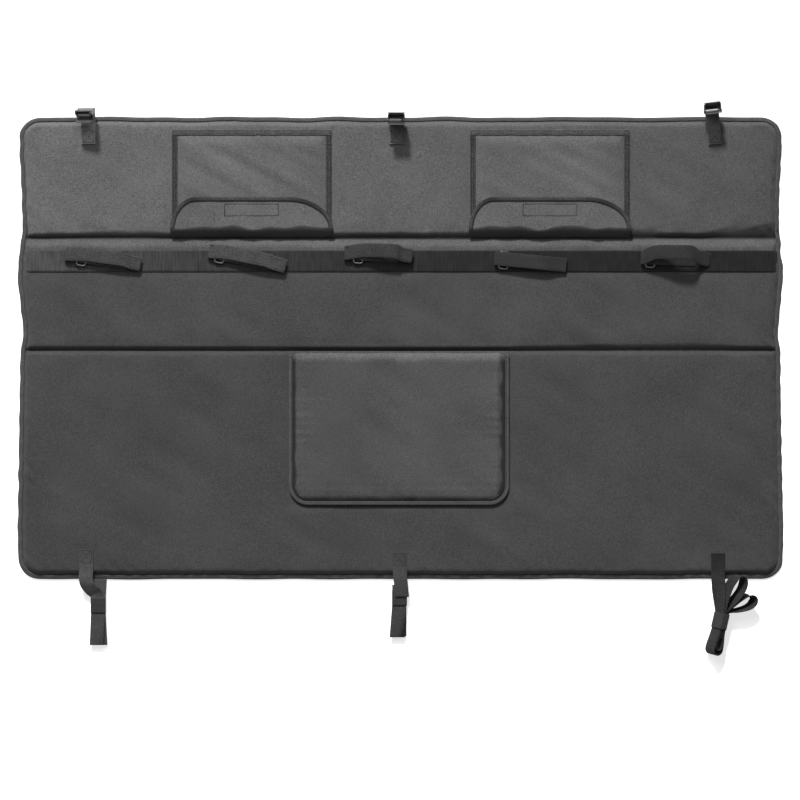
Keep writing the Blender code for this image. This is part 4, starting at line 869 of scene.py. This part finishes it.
for number, (side_name, centre) in enumerate((("left", -0.268), ("right", 0.268))):
    seed = 60 + 10 * number
    xs = spaced([centre - POCKET_HALF, centre + POCKET_HALF], 0.005, 0.0015, 0.016)
    ys = spaced([POCKET_MOUTH, POCKET_TOP], 0.005, 0.0015, 0.016)
    x, y = np.meshgrid(xs, ys)
    inside = np.minimum(np.minimum(x - xs[0], xs[-1] - x), POCKET_TOP - y)
    swell = rise(inside - HEM_WIDE, 0.02)
    z = POCKET_RIM_Z + (POCKET_Z - POCKET_RIM_Z) * swell
    z = z + 0.00025 * ramp(1 - np.abs(inside - 0.0042) / 0.0018)
    drape = 0.55 * ripple(0.6 * x + 0.8 * y, 0.075, seed, 3)
    drape = drape + 0.25 * ripple(0.45 * x + 0.9 * y, 0.03, seed + 8)
    z = z - 0.0021 * swell * (1 + np.clip(drape, -1, 1)) * np.clip((POCKET_TOP - y) / 0.05, 0.4, 1)
    z = z + 0.0004 * np.exp(-ramp(inside - 0.011) / 0.012) * ripple(x + y, 0.016, seed + 2) * (inside > 0.011)
    z = np.minimum(z, POCKET_Z + POCKET_CLOTH / 2)
    body = surface(f"pocket_{side_name}_cloth", np.dstack([x, y, z]))
    apply_all(thicken(body, POCKET_CLOTH))
    dress(body, pocket_finish, "cloth", f"pocket_{side_name}_body")

    for way, end_name, low in SIDE_TAPES:
        x = centre + way * (POCKET_HALF - SIDE_TAPE)
        line = at_height(evenly([(x, low), (x, POCKET_TOP - 0.001)], 0.004), POCKET_RIM_Z + 0.0012)
        side_tape = ribbon(f"pocket_{side_name}_side_tape_{end_name}", line, (1, 0, 0), 0.0102, 0.0006)
        dress(side_tape, pocket_tape_finish, "tape")
    line = evenly([(centre + way * POCKET_HALF, POCKET_TOP - HEM_IN) for way in (-1, 1)], 0.004)
    line[:, 1] += 0.0004 * ripple(line[:, 0], 0.04, seed + 6)
    line = at_height(line, POCKET_RIM_Z + 0.0016 + 0.0002 * ripple(line[:, 0], 0.02, seed + 7))
    hem = ribbon(f"pocket_{side_name}_hem", line, (0, 1, 0), 0.0100, 0.0011)
    dress(hem, hem_finish, "cloth")

    outline = flap_outline(centre, COVER_INSET)
    half = len(outline) // 2
    share = np.linspace(0, 1, 64)
    edges = [evenly(edge, 0.0019) for edge in (outline[:half], outline[half:][::-1])]
    rows_y = np.linspace(FLAP_START, edges[0][-1, 1], 48)
    left, right = (np.interp(rows_y, np.maximum.accumulate(edge[:, 1]), edge[:, 0]) for edge in edges)
    x = left[:, None] + (right - left)[:, None] * (0.5 - 0.5 * np.cos(share * np.pi))[None]
    y = np.repeat(rows_y[:, None], len(share), 1)
    edge = depth_in(x, y, centre - POCKET_HALF, centre + POCKET_HALF, 0.0, FOLD_A + FLAP_UP, 0.05)
    z = flap_lift(y, x, seed + 5) + 0.0007 * ramp(edge, 0.02) * ripple(x, 0.07, seed + 3)
    z = z + 0.0004 * bell(y - FOLD_A - 0.014, 0.01) * ripple(x, 0.03, seed + 4)
    cover = surface(f"pocket_{side_name}_cover", np.dstack([x, y, z]))
    share = flap_share(y, x, seed + 5)
    # Painted shade: the flap's front slope, which faces the fold and away from the light, is painted darker,
    # most at the fold.
    darken(cover, ramp(1.0 - share, 0.10) * (0.92 - 0.40 * share))
    apply_all(thicken(cover, POCKET_CLOTH))
    dress(cover, pocket_flap_finish, "cloth", f"pocket_{side_name}_flap")

    line = evenly(flap_outline(centre, 0.0), 0.0025)[::-1]
    line = line[line[:, 1] > FOLD_A + 0.004]
    section = folded_section(0.008, -0.0015, 0.0016, 0.0006)
    lift = flap_lift(line[:, 1])
    bound = tape_round(f"pocket_{side_name}_binding", line, section, False, lift)
    along = (line[:, 0] - centre) / (POCKET_HALF + FLAP_OVER)
    # Painted shade: the tape is painted darker over its upper left and right curves, where it turns under.
    dark = 0.9 * np.maximum(bell(along + 0.72, 0.13), bell(along - 0.68, 0.22)) * (line[:, 1] > FOLD_A + 0.03)
    darken(bound, np.repeat(dark, len(section)))
    dress(bound, flap_tape_finish, "tape", f"pocket_{side_name}_tape")
    row = line + inward(line) * 0.0063
    seams = [at_height(row, flap_lift(row[:, 1]) + 0.0017)]
    corners = np.array(SQUARE) * (POCKET_GRIP_HALF, POCKET_GRIP_WIDE / 2) + (centre, POCKET_GRIP_Y)
    seams.append(at_height(ringed(corners), POCKET_FLAP_Z + 0.0009))
    for hem in (0.0024, 0.0066):
        left, right = centre - (POCKET_HALF - hem), centre + (POCKET_HALF - hem)
        low, high = SIDE_SEAM_LOW, POCKET_TOP - hem
        corners = [(left, low), (left, high), (right, high), (right, low)]
        seams.append(at_height(corners, POCKET_RIM_Z + 0.0022))
    sew(f"pocket_{side_name}_stitches", seams, dark_thread, wide=0.0015)
    for kind, way, level in (("loop", 1, POCKET_Z), ("hook", -1, POCKET_FLAP_Z)):
        z = level + way * POCKET_CLOTH / 2 + way * GAP + way * GRIP / 2
        grip_strip(f"pocket_{side_name}", kind, centre, POCKET_GRIP_Y, z, POCKET_GRIP_HALF, POCKET_GRIP_WIDE)


# Strap band: 38 mm webbing sewn flat across the top panel from edge tape to edge tape, with a row of
# stitches along each side. The bike straps are tied to it.
WEBBING = 0.0014
BAND_WIDTH, BAND_TOP, BAND_END = 0.038, 0.0143, 0.58
# The band is painted lighter at its left end and painted shade towards its right end, where less light falls.
band_finish = ribbed_finish("band_webbing", (0.065, 0.065, 0.066), rib=0.0026, mottle=0.45, knots=1.3,
                            shine=0.1, painted_shade_right=(0.0115, 0.0115, 0.012), stretch=0.08)
inset = np.r_[np.linspace(0.0095, 0.03, 14), 0.05, 0.09]
fall = FACE_RIM + (FACE_TOP - FACE_RIM) * rise(inset - SEAM_IN, SEAM_SLOPE) + GAP + WEBBING / 2
side_run = np.stack([inset - HALF_WIDTH, np.full(len(inset), BAND_Y), np.maximum(fall, 0.0066)], -1)
middle_run = [(x, BAND_Y, BAND_TOP - WEBBING / 2) for x in np.linspace(-BAND_END, BAND_END, 60)]
path = np.concatenate([side_run, middle_run, side_run[::-1] * (-1, 1, 1)])
band = ribbon("strap_band_webbing", path, (0, 1, 0), BAND_WIDTH, WEBBING, steps=10)
dress(band, band_finish, "webbing", "strap_band")
rows = [path + (0, side * (BAND_WIDTH / 2 - 0.0022), WEBBING / 2 + 0.0002) for side in (-1, 1)]
sew("band_stitches", rows, dark_thread)


# Bike straps: five webbing straps, each with a steel ring tied to the band by a short webbing loop.
# The strap is sewn to the band, comes up through the ring and folds back over itself.
PITCH = WEBBING + GAP
RING_WIRE, RING_LONG, RING_SHORT = 0.0016, 0.034, 0.019
ANCHOR, TAPER = 0.018, 0.008
STRAP_FIELDS = ("x", "y", "turn", "length", "ring", "arch", "end", "drift", "tone")
BIKE_STRAPS = {
    "a": (-0.8783 * HALF_WIDTH, 0.0722, -8.1, 0.1366, 0.030, 0.0262, 0.0215, 0.0042, 0.034),
    "b": (-0.50219 * HALF_WIDTH, 0.0770, -11.5, 0.1405, 0.021, 0.0272, 0.0225, 0.0042, 0.038),
    "c": (-0.14723 * HALF_WIDTH, 0.0735, -2.9, 0.1215, 0.025, 0.0345, 0.0245, 0.007, 0.021),
    "d": (0.24636 * HALF_WIDTH, 0.0637, -5.6, 0.1290, 0.0165, 0.0265, 0.0195, 0.0, 0.0125),
    "e": (0.62974 * HALF_WIDTH, 0.0655, -2.2, 0.1235, 0.0165, 0.0460, 0.0154, 0.011, 0.0118),
}


def curve(points, per_span):
    """A line through every point. Each span eases from start to end by t²(3 − 2t), and leaves and
    arrives along the chords past its ends, as long as the span itself."""
    points = np.asarray(points, dtype=float)
    ends = np.concatenate([2 * points[:1] - points[1:2], points, 2 * points[-1:] - points[-2:-1]])
    start, end = ends[1:-2, None], ends[2:-1, None]
    length = np.linalg.norm(end - start, axis=-1, keepdims=True)
    leave = unit(end - ends[:-3, None]) * length
    arrive = unit(ends[3:, None] - start) * length
    t = (np.arange(per_span) / per_span)[None, :, None]
    eased = t * t * (3 - 2 * t)
    found = start * (1 - eased) + end * eased + leave * t * (1 - t) ** 2 - arrive * t * t * (1 - t)
    return np.concatenate([found.reshape(-1, 3), points[-1:]])


def turned(points, at, turn):
    """Points and directions turned about Z by an angle in degrees, then moved to a place."""
    c, s = np.cos(np.radians(turn)), np.sin(np.radians(turn))
    x, y, z = np.moveaxis(np.asarray(points, dtype=float), -1, 0)
    return np.stack([x * c - y * s + at[0], x * s + y * c + at[1], z], -1)


def loop_round_bar(tail, normals, radius, heading):
    """A doubled strap out along its tail, round a bar beyond it and back, as one line of points."""
    tail, normals = np.asarray(tail, dtype=float), np.asarray(normals, dtype=float)
    apart = PITCH / 2
    bar = tail[-1] + heading * TAPER
    lift = np.arcsin(radius / np.hypot(TAPER, apart)) - np.arctan2(apart, TAPER)
    angle = np.linspace(-1, 1, 17)[:, None] * (np.pi / 2 + lift)
    turn = bar + (heading * np.cos(angle) + normals[-1] * np.sin(angle)) * radius
    return np.concatenate([tail - normals * apart, turn, (tail + normals * apart)[::-1]])


def tube(name, points, radius):
    """Round wire along a closed line: a circle at each point, square to the way the line runs."""
    sides = 12
    way = unit(np.roll(points, -1, axis=0) - np.roll(points, 1, axis=0))
    across = unit(np.cross((0.0, 0.0, 1.0), way))
    normal = np.cross(way, across)
    angle = np.arange(sides) * 2 * np.pi / sides
    ring = across[:, None] * np.cos(angle)[None, :, None] + normal[:, None] * np.sin(angle)[None, :, None]
    return surface(name, points[:, None] + ring * radius, around=True, along=True)


def plated_finish(name, low, high):
    """Plated steel: brushed scratches over worn patches, between two greys."""
    made = Finish(name)
    place = made.node("TexCoord", out=3)
    brushed = made.noise(place, 420.0, 4.0, 0.7)
    worn = made.noise(place, 70.0, 3.0)
    tone = made.mix(brushed * 0.5 + worn * 0.5, (low,) * 3, (high,) * 3)
    return made.coat({"Base Color": tone, "Metallic": 0.85, "Roughness": 0.3 + 0.3 * worn}, 0.25, 0.0001,
                     brushed + worn)


def strap_finish(name, colour, mottle, knots, **more):
    """The straps' webbing: ribs in chevrons."""
    return ribbed_finish(name, colour, rib=0.0022, mottle=mottle, knots=knots, chevron=0.9, **more)


steel_finish = plated_finish("plated_steel", 0.07, 0.16)
ring_finish = plated_finish("ring_steel", 0.04, 0.11)

layer_z = BAND_TOP + GAP + WEBBING / 2
loop_radius = RING_WIRE + GAP + WEBBING / 2
bar_z = layer_z + loop_radius
free_z = bar_z + 0.0016
for key, values in BIKE_STRAPS.items():
    lay = dict(zip(STRAP_FIELDS, values))
    at, turn = (lay["x"], lay["y"]), lay["turn"]
    length, arch, drift = lay["length"], lay["arch"], lay["drift"]
    finish = strap_finish(f"bike_strap_{key}_webbing", (lay["tone"],) * 3, mottle=0.6, knots=1.6)
    across = turned((0, 1, 0), (0, 0), turn)
    bar_x = lay["ring"] + RING_SHORT / 2 - RING_WIRE
    free_x = lay["ring"] - RING_SHORT / 2 + RING_WIRE

    anchor_z = layer_z + PITCH / 2
    first = np.array((bar_x + TAPER + ANCHOR, 0, anchor_z))
    second = np.array((bar_x + TAPER + 0.003, 0, anchor_z))
    heading = unit(np.array((bar_x, 0, bar_z)) - second)
    third = np.array((bar_x, 0, bar_z)) - heading * TAPER
    leaned = np.array((heading[2], 0, -heading[0]))
    path = loop_round_bar([first, second, third], [(0, 0, 1), (0, 0, 1), leaned], loop_radius, heading)
    anchor = ribbon(f"bike_strap_{key}_tie", turned(path, at, turn), across)
    dress(anchor, finish, "webbing", f"bike_strap_{key}_anchor")

    half = RING_LONG / 2 - RING_WIRE
    line = evenly(rounded_line(free_x, bar_x, -half, half, 0.004, 0.004), 0.0011, closed=True)
    height = bar_z + (line[:, 0] - bar_x) * (free_z - bar_z) / (free_x - bar_x)
    line = turned(at_height(line - (0, 0.0018), height), at, turn)
    ring = tube(f"bike_strap_{key}_steel_ring", line, RING_WIRE)
    dress(ring, ring_finish, "steel", f"bike_strap_{key}_ring")

    over_anchor = layer_z + 2 * PITCH + GAP
    over_bar = bar_z + loop_radius + WEBBING / 2 + GAP + WEBBING / 2
    under_free = free_z - RING_WIRE - GAP - WEBBING / 2 - GAP
    over_free = free_z + RING_WIRE + 2 * GAP + WEBBING / 2
    fold = (over_free - under_free) / 2
    tail = bar_x + TAPER + ANCHOR
    middle = (bar_x + length) / 2
    route = [
        (max(tail + 0.030, length * 0.8), 0, layer_z),
        (tail + 0.018, 0, layer_z),
        (tail + 0.012, 0, layer_z),
        (tail + 0.001, 0, over_anchor + GAP),
        (bar_x + TAPER, 0, over_anchor + 3 * GAP),
        (bar_x + 0.001, 0, over_bar + GAP),
        (free_x, 0, under_free),
        (fold + WEBBING, 0, under_free + GAP),
        (fold * 0.3, 0, under_free + fold * 0.35),
        (0.0, 0, under_free + fold),
        (fold * 0.35, 0, under_free + fold * 1.75),
        (fold + WEBBING, 0, over_free),
        (bar_x, drift * 0.85, max(over_bar + PITCH + GAP, arch * 0.75)),
        (middle * 0.8 + bar_x * 0.2, drift, arch),
        (middle * 1.2, drift, arch),
        (length - 0.018, drift * 0.3, (lay["end"] * 2 + arch) / 3),
        (length, 0, lay["end"]),
    ]
    path = turned(curve(route, 6), at, turn)
    strap = ribbon(f"bike_strap_{key}_strap", path, across)
    dress(strap, finish, "webbing", f"bike_strap_{key}_webbing")
    end = path[-8:]
    edges = np.concatenate([end + across * 0.0095, end[::-1] - across * 0.0095])
    sew(f"bike_strap_{key}_stitches", [edges + (0, 0, WEBBING / 2 + 0.0002)], dark_thread, wide=0.0017)


# Top straps: webbing doubled round a cam buckle's bar, its two ends sewn to the inner panel with a box
# and a cross. The buckles grip the tailgate's inner lip; their plates, pins and springs are the CAD's.
SEWN_Y, STRAP_BEND, BAR_RADIUS = PAD_TOP - 0.044, 0.007, 0.002
TOP_STRAPS = {
    # The left strap's tone is painted lighter than the others' to offset the shadow its standing buckle casts
    # on it: painted light.
    "left": dict(x=0.1244 - HALF_WIDTH, bar_y=0.3300, pitch=98.0, lean=-8.0, turn=0.0, tone=0.235),
    "middle": dict(x=-0.0079, bar_y=0.3145, pitch=72.0, lean=0.0, turn=0.0, tone=0.100),
    "right": dict(x=HALF_WIDTH - 0.1208, bar_y=0.3280, pitch=60.0, lean=0.0, turn=6.5, tone=0.100),
}


def cross_box(centre, wide, tall, z):
    """The rows of a sewn box with a cross in it, at one height."""
    corners = np.array(SQUARE) * (wide / 2, tall / 2) + centre
    return [at_height(row, z) for row in (ringed(corners), corners[[0, 2]], corners[[1, 3]])]


def leaning(points, angle, pivot_z):
    """Turns points about the Y axis at a height, each by its own angle in radians."""
    x, y, z = np.moveaxis(np.asarray(points, dtype=float), -1, 0)
    c, s = np.cos(angle), np.sin(angle)
    return np.stack([x * c + (z - pivot_z) * s, y, pivot_z - x * s + (z - pivot_z) * c], -1)


for side_name, lay in TOP_STRAPS.items():
    pitch = np.radians(lay["pitch"])
    middle_z = FACE_TOP + GAP + WEBBING / 2 + PITCH / 2
    leave_y = lay["bar_y"] - TAPER * np.cos(pitch) - STRAP_BEND * np.sin(pitch)
    share = np.linspace(0, 1, 16)
    angle = pitch * share
    bend_y, bend_z = leave_y + STRAP_BEND * np.sin(angle), middle_z + STRAP_BEND * (1 - np.cos(angle))
    bend = np.stack([0 * angle, bend_y, bend_z], -1)
    tail = np.concatenate([[(0, SEWN_Y - 0.0065, middle_z)], bend])
    normals = np.concatenate([[(0, 0, 1)], np.stack([0 * angle, -np.sin(angle), np.cos(angle)], -1)])
    heading = np.array((0, np.cos(pitch), np.sin(pitch)))
    path = loop_round_bar(tail, normals, BAR_RADIUS + GAP + WEBBING / 2, heading)
    share = np.r_[0, share]
    share = np.concatenate([share, np.ones(len(path) - 2 * len(tail)), share[::-1]])
    lean = np.radians(lay["lean"]) * share
    path = leaning(path, lean, middle_z)
    across = leaning(np.tile((1.0, 0, 0), (len(path), 1)), lean, 0.0)
    path = turned(path - (0, SEWN_Y, 0), (lay["x"], SEWN_Y), lay["turn"])
    strap = ribbon(f"top_strap_{side_name}_strap", path, turned(across, (0, 0), lay["turn"]))
    finish = strap_finish(f"top_strap_{side_name}_webbing", (lay["tone"],) * 3, mottle=0.4, knots=0.6)
    dress(strap, finish, "webbing", f"top_strap_{side_name}_webbing")
    rows = cross_box((0, 0.0070), 0.020, 0.021, FACE_TOP + 2 * GAP + 2 * WEBBING + 0.0003)
    rows = [turned(row, (lay["x"], SEWN_Y), lay["turn"]) for row in rows]
    sew(f"top_strap_{side_name}_stitches", rows, dark_thread, wide=0.0012)
    for piece in ("frame", "lever", "pin", "spring"):
        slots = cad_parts[f"buckle_{side_name}_{piece}"].data.materials
        for slot in range(len(slots)):
            slots[slot] = steel_finish.material


# Bottom straps: long webbing sewn to the outer panel and folded into a bundle, held by an elastic
# keeper. The left and middle bundles lie flat; the right one stands on edge and fans out in two loops.
KEEPER, KEEPER_WIDTH, KEEPER_STEP, KEEPER_ROWS = 0.0008, 0.028, 0.0016, 12
STRAP_HALF = 0.0125
lower_finish = strap_finish("lower_strap_webbing", (0.044, 0.044, 0.045), mottle=0.55, knots=1.2)
middle_finish = strap_finish("middle_strap_webbing", (0.033, 0.033, 0.034), mottle=0.55, knots=1.2)
right_finish = strap_finish("right_strap_webbing", (0.022, 0.022, 0.0225), mottle=0.6, knots=1.2, shine=0.1,
                            crease=True)
keeper_finish = ribbed_finish("keeper_elastic", (0.020, 0.020, 0.0205), rib=0.0022, mottle=0.45)
BOTTOM_STRAPS = {
    "left": dict(x=0.1205 - HALF_WIDTH, sewn=0.055, shift=0.0212, near=-0.001, far=0.117, keeper=0.032,
                 fan=(0.0026, -0.0028, 0.0038), finish=lower_finish),
    "middle": dict(x=-0.0024, sewn=0.050, shift=0.0002, near=0.010, far=0.103, keeper=0.0185,
                   fan=(-0.0008, -0.0052, -0.0022), finish=middle_finish),
}
LAYER_PITCH, LAYERS = 0.0021, 5


def keeper_band(side_name, corners, step):
    """A flat elastic sleeve: a rounded ring of points, carried along by a step, given its thickness."""
    ring = evenly(ringed(corners), KEEPER_STEP)[:-1]
    soft = (np.roll(ring, 1, axis=0) + 2 * ring + np.roll(ring, -1, axis=0)) / 4
    points = np.stack([soft + np.asarray(step) * share for share in np.linspace(0, 1, KEEPER_ROWS)])
    uv = lay_of(np.linspace(0, KEEPER_WIDTH, KEEPER_ROWS), np.arange(len(ring) + 1) * KEEPER_STEP)
    made = surface(f"bottom_strap_{side_name}_elastic", points, uv, around=True)
    dress(apply_all(thicken(made, KEEPER)), keeper_finish, "tape", f"bottom_strap_{side_name}_keeper")


def sew_end(side_name, x, y, **more):
    """The box and cross that hold a bottom strap's end on the face cloth."""
    rows = cross_box((x, y), 0.019, 0.022, sewn_z + WEBBING / 2 + 0.0001)
    sew(f"bottom_strap_{side_name}_stitches", rows, dark_thread, **more)


sewn_z = FACE_TOP + GAP + WEBBING / 2
floor_z = KEEPER + 2 * GAP + WEBBING / 2
top_z = floor_z + (LAYERS - 1) * LAYER_PITCH
bend = LAYER_PITCH / 2
for side_name, lay in BOTTOM_STRAPS.items():
    shift = lay["shift"]
    near, far = PAD_BOTTOM - lay["near"], PAD_BOTTOM - lay["far"]
    sewn = [(0, PAD_BOTTOM + lay["sewn"], sewn_z), (0, PAD_BOTTOM + 0.030, sewn_z)]
    inside = [(shift, PAD_BOTTOM - lay["keeper"] - part * KEEPER_WIDTH, top_z) for part in (0.2, 1.0)]
    if side_name == "left":
        loose = [
            (0, PAD_BOTTOM + 0.0153, sewn_z + 0.0022),
            (shift * -0.03, PAD_BOTTOM + 0.004, sewn_z + 0.0052),
            (shift * 0.08, PAD_BOTTOM - 0.007, sewn_z + 0.0056),
            (shift * 0.45, PAD_BOTTOM - 0.018, top_z + 0.0046),
            (shift * 0.88, PAD_BOTTOM - 0.0265, top_z + 0.0006),
        ]
    else:
        loose = [
            (0.0008, PAD_BOTTOM + 0.0153, sewn_z + 0.0012),
            (0.0016, PAD_BOTTOM + 0.004, sewn_z + 0.0030),
            (0.0030, PAD_BOTTOM - 0.010, sewn_z + 0.0036),
            (0.0046, PAD_BOTTOM - 0.0285, top_z + 0.0050),
            (0.0048, PAD_BOTTOM - 0.0300, top_z + 0.0038),
            (0.0048, PAD_BOTTOM - 0.0285, top_z + 0.0026),
            (0.0030, PAD_BOTTOM - 0.0140, top_z + 0.0022),
            (0.0024, PAD_BOTTOM - 0.0125, top_z + 0.0010),
            (0.0018, PAD_BOTTOM - 0.0140, top_z),
        ]
    path = list(curve(sewn + loose + inside, 6))
    near_fan, fan_a, fan_b = (shift + fan for fan in lay["fan"])
    for layer, aside in enumerate((fan_a, near_fan, fan_b, near_fan, shift)):
        z = top_z - layer * LAYER_PITCH
        away = layer % 2 == 0
        end = far + bend if away else near - bend
        path.append((aside, end, z))
        if layer < LAYERS - 1:
            turn = np.radians(np.linspace(-60, 90, 8))
            way = -1 if away else 1
            fold_y, fold_z = end + way * bend * np.cos(turn), z - bend - bend * np.sin(turn)
            path += list(np.stack([np.full(8, aside), fold_y, fold_z], -1))
            path.append((shift, PAD_BOTTOM - lay["keeper"] - KEEPER_WIDTH / 2, z - LAYER_PITCH))
    path = np.array(path) + (lay["x"], 0, 0)
    strap = ribbon(f"bottom_strap_{side_name}_strap", path, (1, 0, 0))
    dress(strap, lay["finish"], "webbing", f"bottom_strap_{side_name}_webbing")
    sew_end(side_name, lay["x"], PAD_BOTTOM + lay["sewn"] - 0.013, wide=0.0012)
    top = top_z + WEBBING / 2 + 2 * GAP + KEEPER / 2
    wide, low = STRAP_HALF + GAP + KEEPER / 2, floor_z - WEBBING / 2 - GAP - KEEPER / 2
    corners = np.array([(-wide, 0, low), (wide, 0, low), (wide, 0, top), (-wide, 0, top)])
    corners += (lay["x"] + shift, PAD_BOTTOM - lay["keeper"], 0)
    keeper_band(side_name, corners, (0, -KEEPER_WIDTH, 0))

RIGHT_X, RIGHT_AT, RIGHT_TURN = HALF_WIDTH - 0.1154, (HALF_WIDTH - 0.1113, -0.5880), -12.7
RIGHT_PITCH, SWELL = 0.0028, 0.0045
PETALS = {
    "lower": dict(out=2, back=1, heading=52.0, length=0.0570, width=-0.020, rise=0.001),
    "upper": dict(out=-1, back=0, heading=16.5, length=0.0700, width=0.021, rise=0.0045),
}
lean = np.radians(38.0)
on_edge = np.array((np.sin(lean), 0, np.cos(lean)))
beside = np.array((np.cos(lean), 0, -np.sin(lean)))
half_tall = STRAP_HALF + GAP + KEEPER / 2
half_wide = 2 * RIGHT_PITCH + WEBBING / 2 + 0.0009 + KEEPER / 2
middle_z = half_tall * np.cos(lean) + half_wide * np.sin(lean) + KEEPER
mouth = KEEPER_WIDTH / 2


def lane(number, along):
    return np.array((0, along, middle_z)) + beside * number * RIGHT_PITCH


def lower_fold(number, far):
    """Down one lane, swelling by a squared sine, half a turn round the lower end and back up the same way."""
    wide = abs(number) * RIGHT_PITCH + SWELL
    angle = np.linspace(0, np.pi, 17)[:, None]
    bend = (0, 0, middle_z) + beside * (np.sign(number) * wide * np.cos(angle))
    bend = bend + (0, 1, 0) * (-far - wide * np.sin(angle))
    share = np.linspace(0, 1, 9)[:-1, None]
    swollen = abs(number) * RIGHT_PITCH + SWELL * np.sin(share * np.pi / 2) ** 2
    down = (0, 0, middle_z) + beside * (np.sign(number) * swollen)
    down = down + (0, 1, 0) * (-mouth - (far - mouth) * share)
    back = down[::-1] - 2 * beside * (np.sign(number) * swollen[::-1])
    return np.concatenate([down, bend, back])


def petal(lay):
    """Out of one lane, round a drop shape and back into the next: a sine out and a double sine aside."""
    heading = np.radians(lay["heading"])
    ahead = np.array((np.sin(heading), np.cos(heading), 0)) * lay["length"] + (0, 0, lay["rise"])
    aside = np.array((-np.cos(heading), np.sin(heading), 0)) * lay["width"] / 2
    first, last = lane(lay["out"], mouth + 0.0035), lane(lay["back"], mouth + 0.0035)
    share = (np.arange(1, 8) / 8)[:, None]
    drop = first + (last - first) * share + ahead * np.sin(np.pi * share) + aside * np.sin(2 * np.pi * share)
    line = np.concatenate([[lane(lay["out"], mouth), first], drop, [last, lane(lay["back"], mouth)]])
    return curve(line, 8)


path = np.concatenate([
    [lane(-2, mouth)], lower_fold(-2, 0.0515), petal(PETALS["lower"]), lower_fold(1, 0.0450),
    petal(PETALS["upper"]), [lane(0, -mouth), lane(0, -0.0300)]])
path = turned(path, RIGHT_AT, RIGHT_TURN)
final = turned(on_edge, (0, 0), RIGHT_TURN)
begin = np.array((RIGHT_X, PAD_BOTTOM + 0.008, sewn_z))
share = (np.arange(1, 18) / 18)[:, None]
angle = np.arccos(final[0])
eased = share * share * (3 - 2 * share)
twisted = np.array((1.0, 0, 0)) * np.sin((1 - eased) * angle) + final * np.sin(eased * angle)
twisted = twisted / np.sin(angle)
start = np.array([(RIGHT_X, PAD_BOTTOM + 0.0475, sewn_z), begin])
centres = np.concatenate([start, begin + (path[0] - begin) * share, path])
across = np.concatenate([np.tile((1.0, 0, 0), (2, 1)), twisted, np.tile(final, (len(path), 1))])
keep = np.r_[True, np.linalg.norm(np.diff(centres, axis=0), axis=1) > 1e-5]
strap = ribbon("bottom_strap_right_strap", centres[keep], across[keep])
# The strap's sewn end on the pad, from about 22 mm above the pad's bottom edge, is painted darker than its
# bundle.
heights = np.array([point.co.y for point in strap.data.vertices])
darken(strap, 0.62 * ramp(heights - PAD_BOTTOM - 0.0215, 0.001))
dress(strap, right_finish, "webbing", "bottom_strap_right_webbing")
sew_end("right", RIGHT_X, PAD_BOTTOM + 0.0345)
corners = np.array(SQUARE, dtype=float)
corners = (0, -mouth, middle_z) + corners[:, :1] * beside * half_wide + corners[:, 1:] * on_edge * half_tall
step = turned((0, KEEPER_WIDTH, 0), (0, 0), RIGHT_TURN)
keeper_band("right", turned(corners, RIGHT_AT, RIGHT_TURN), step)
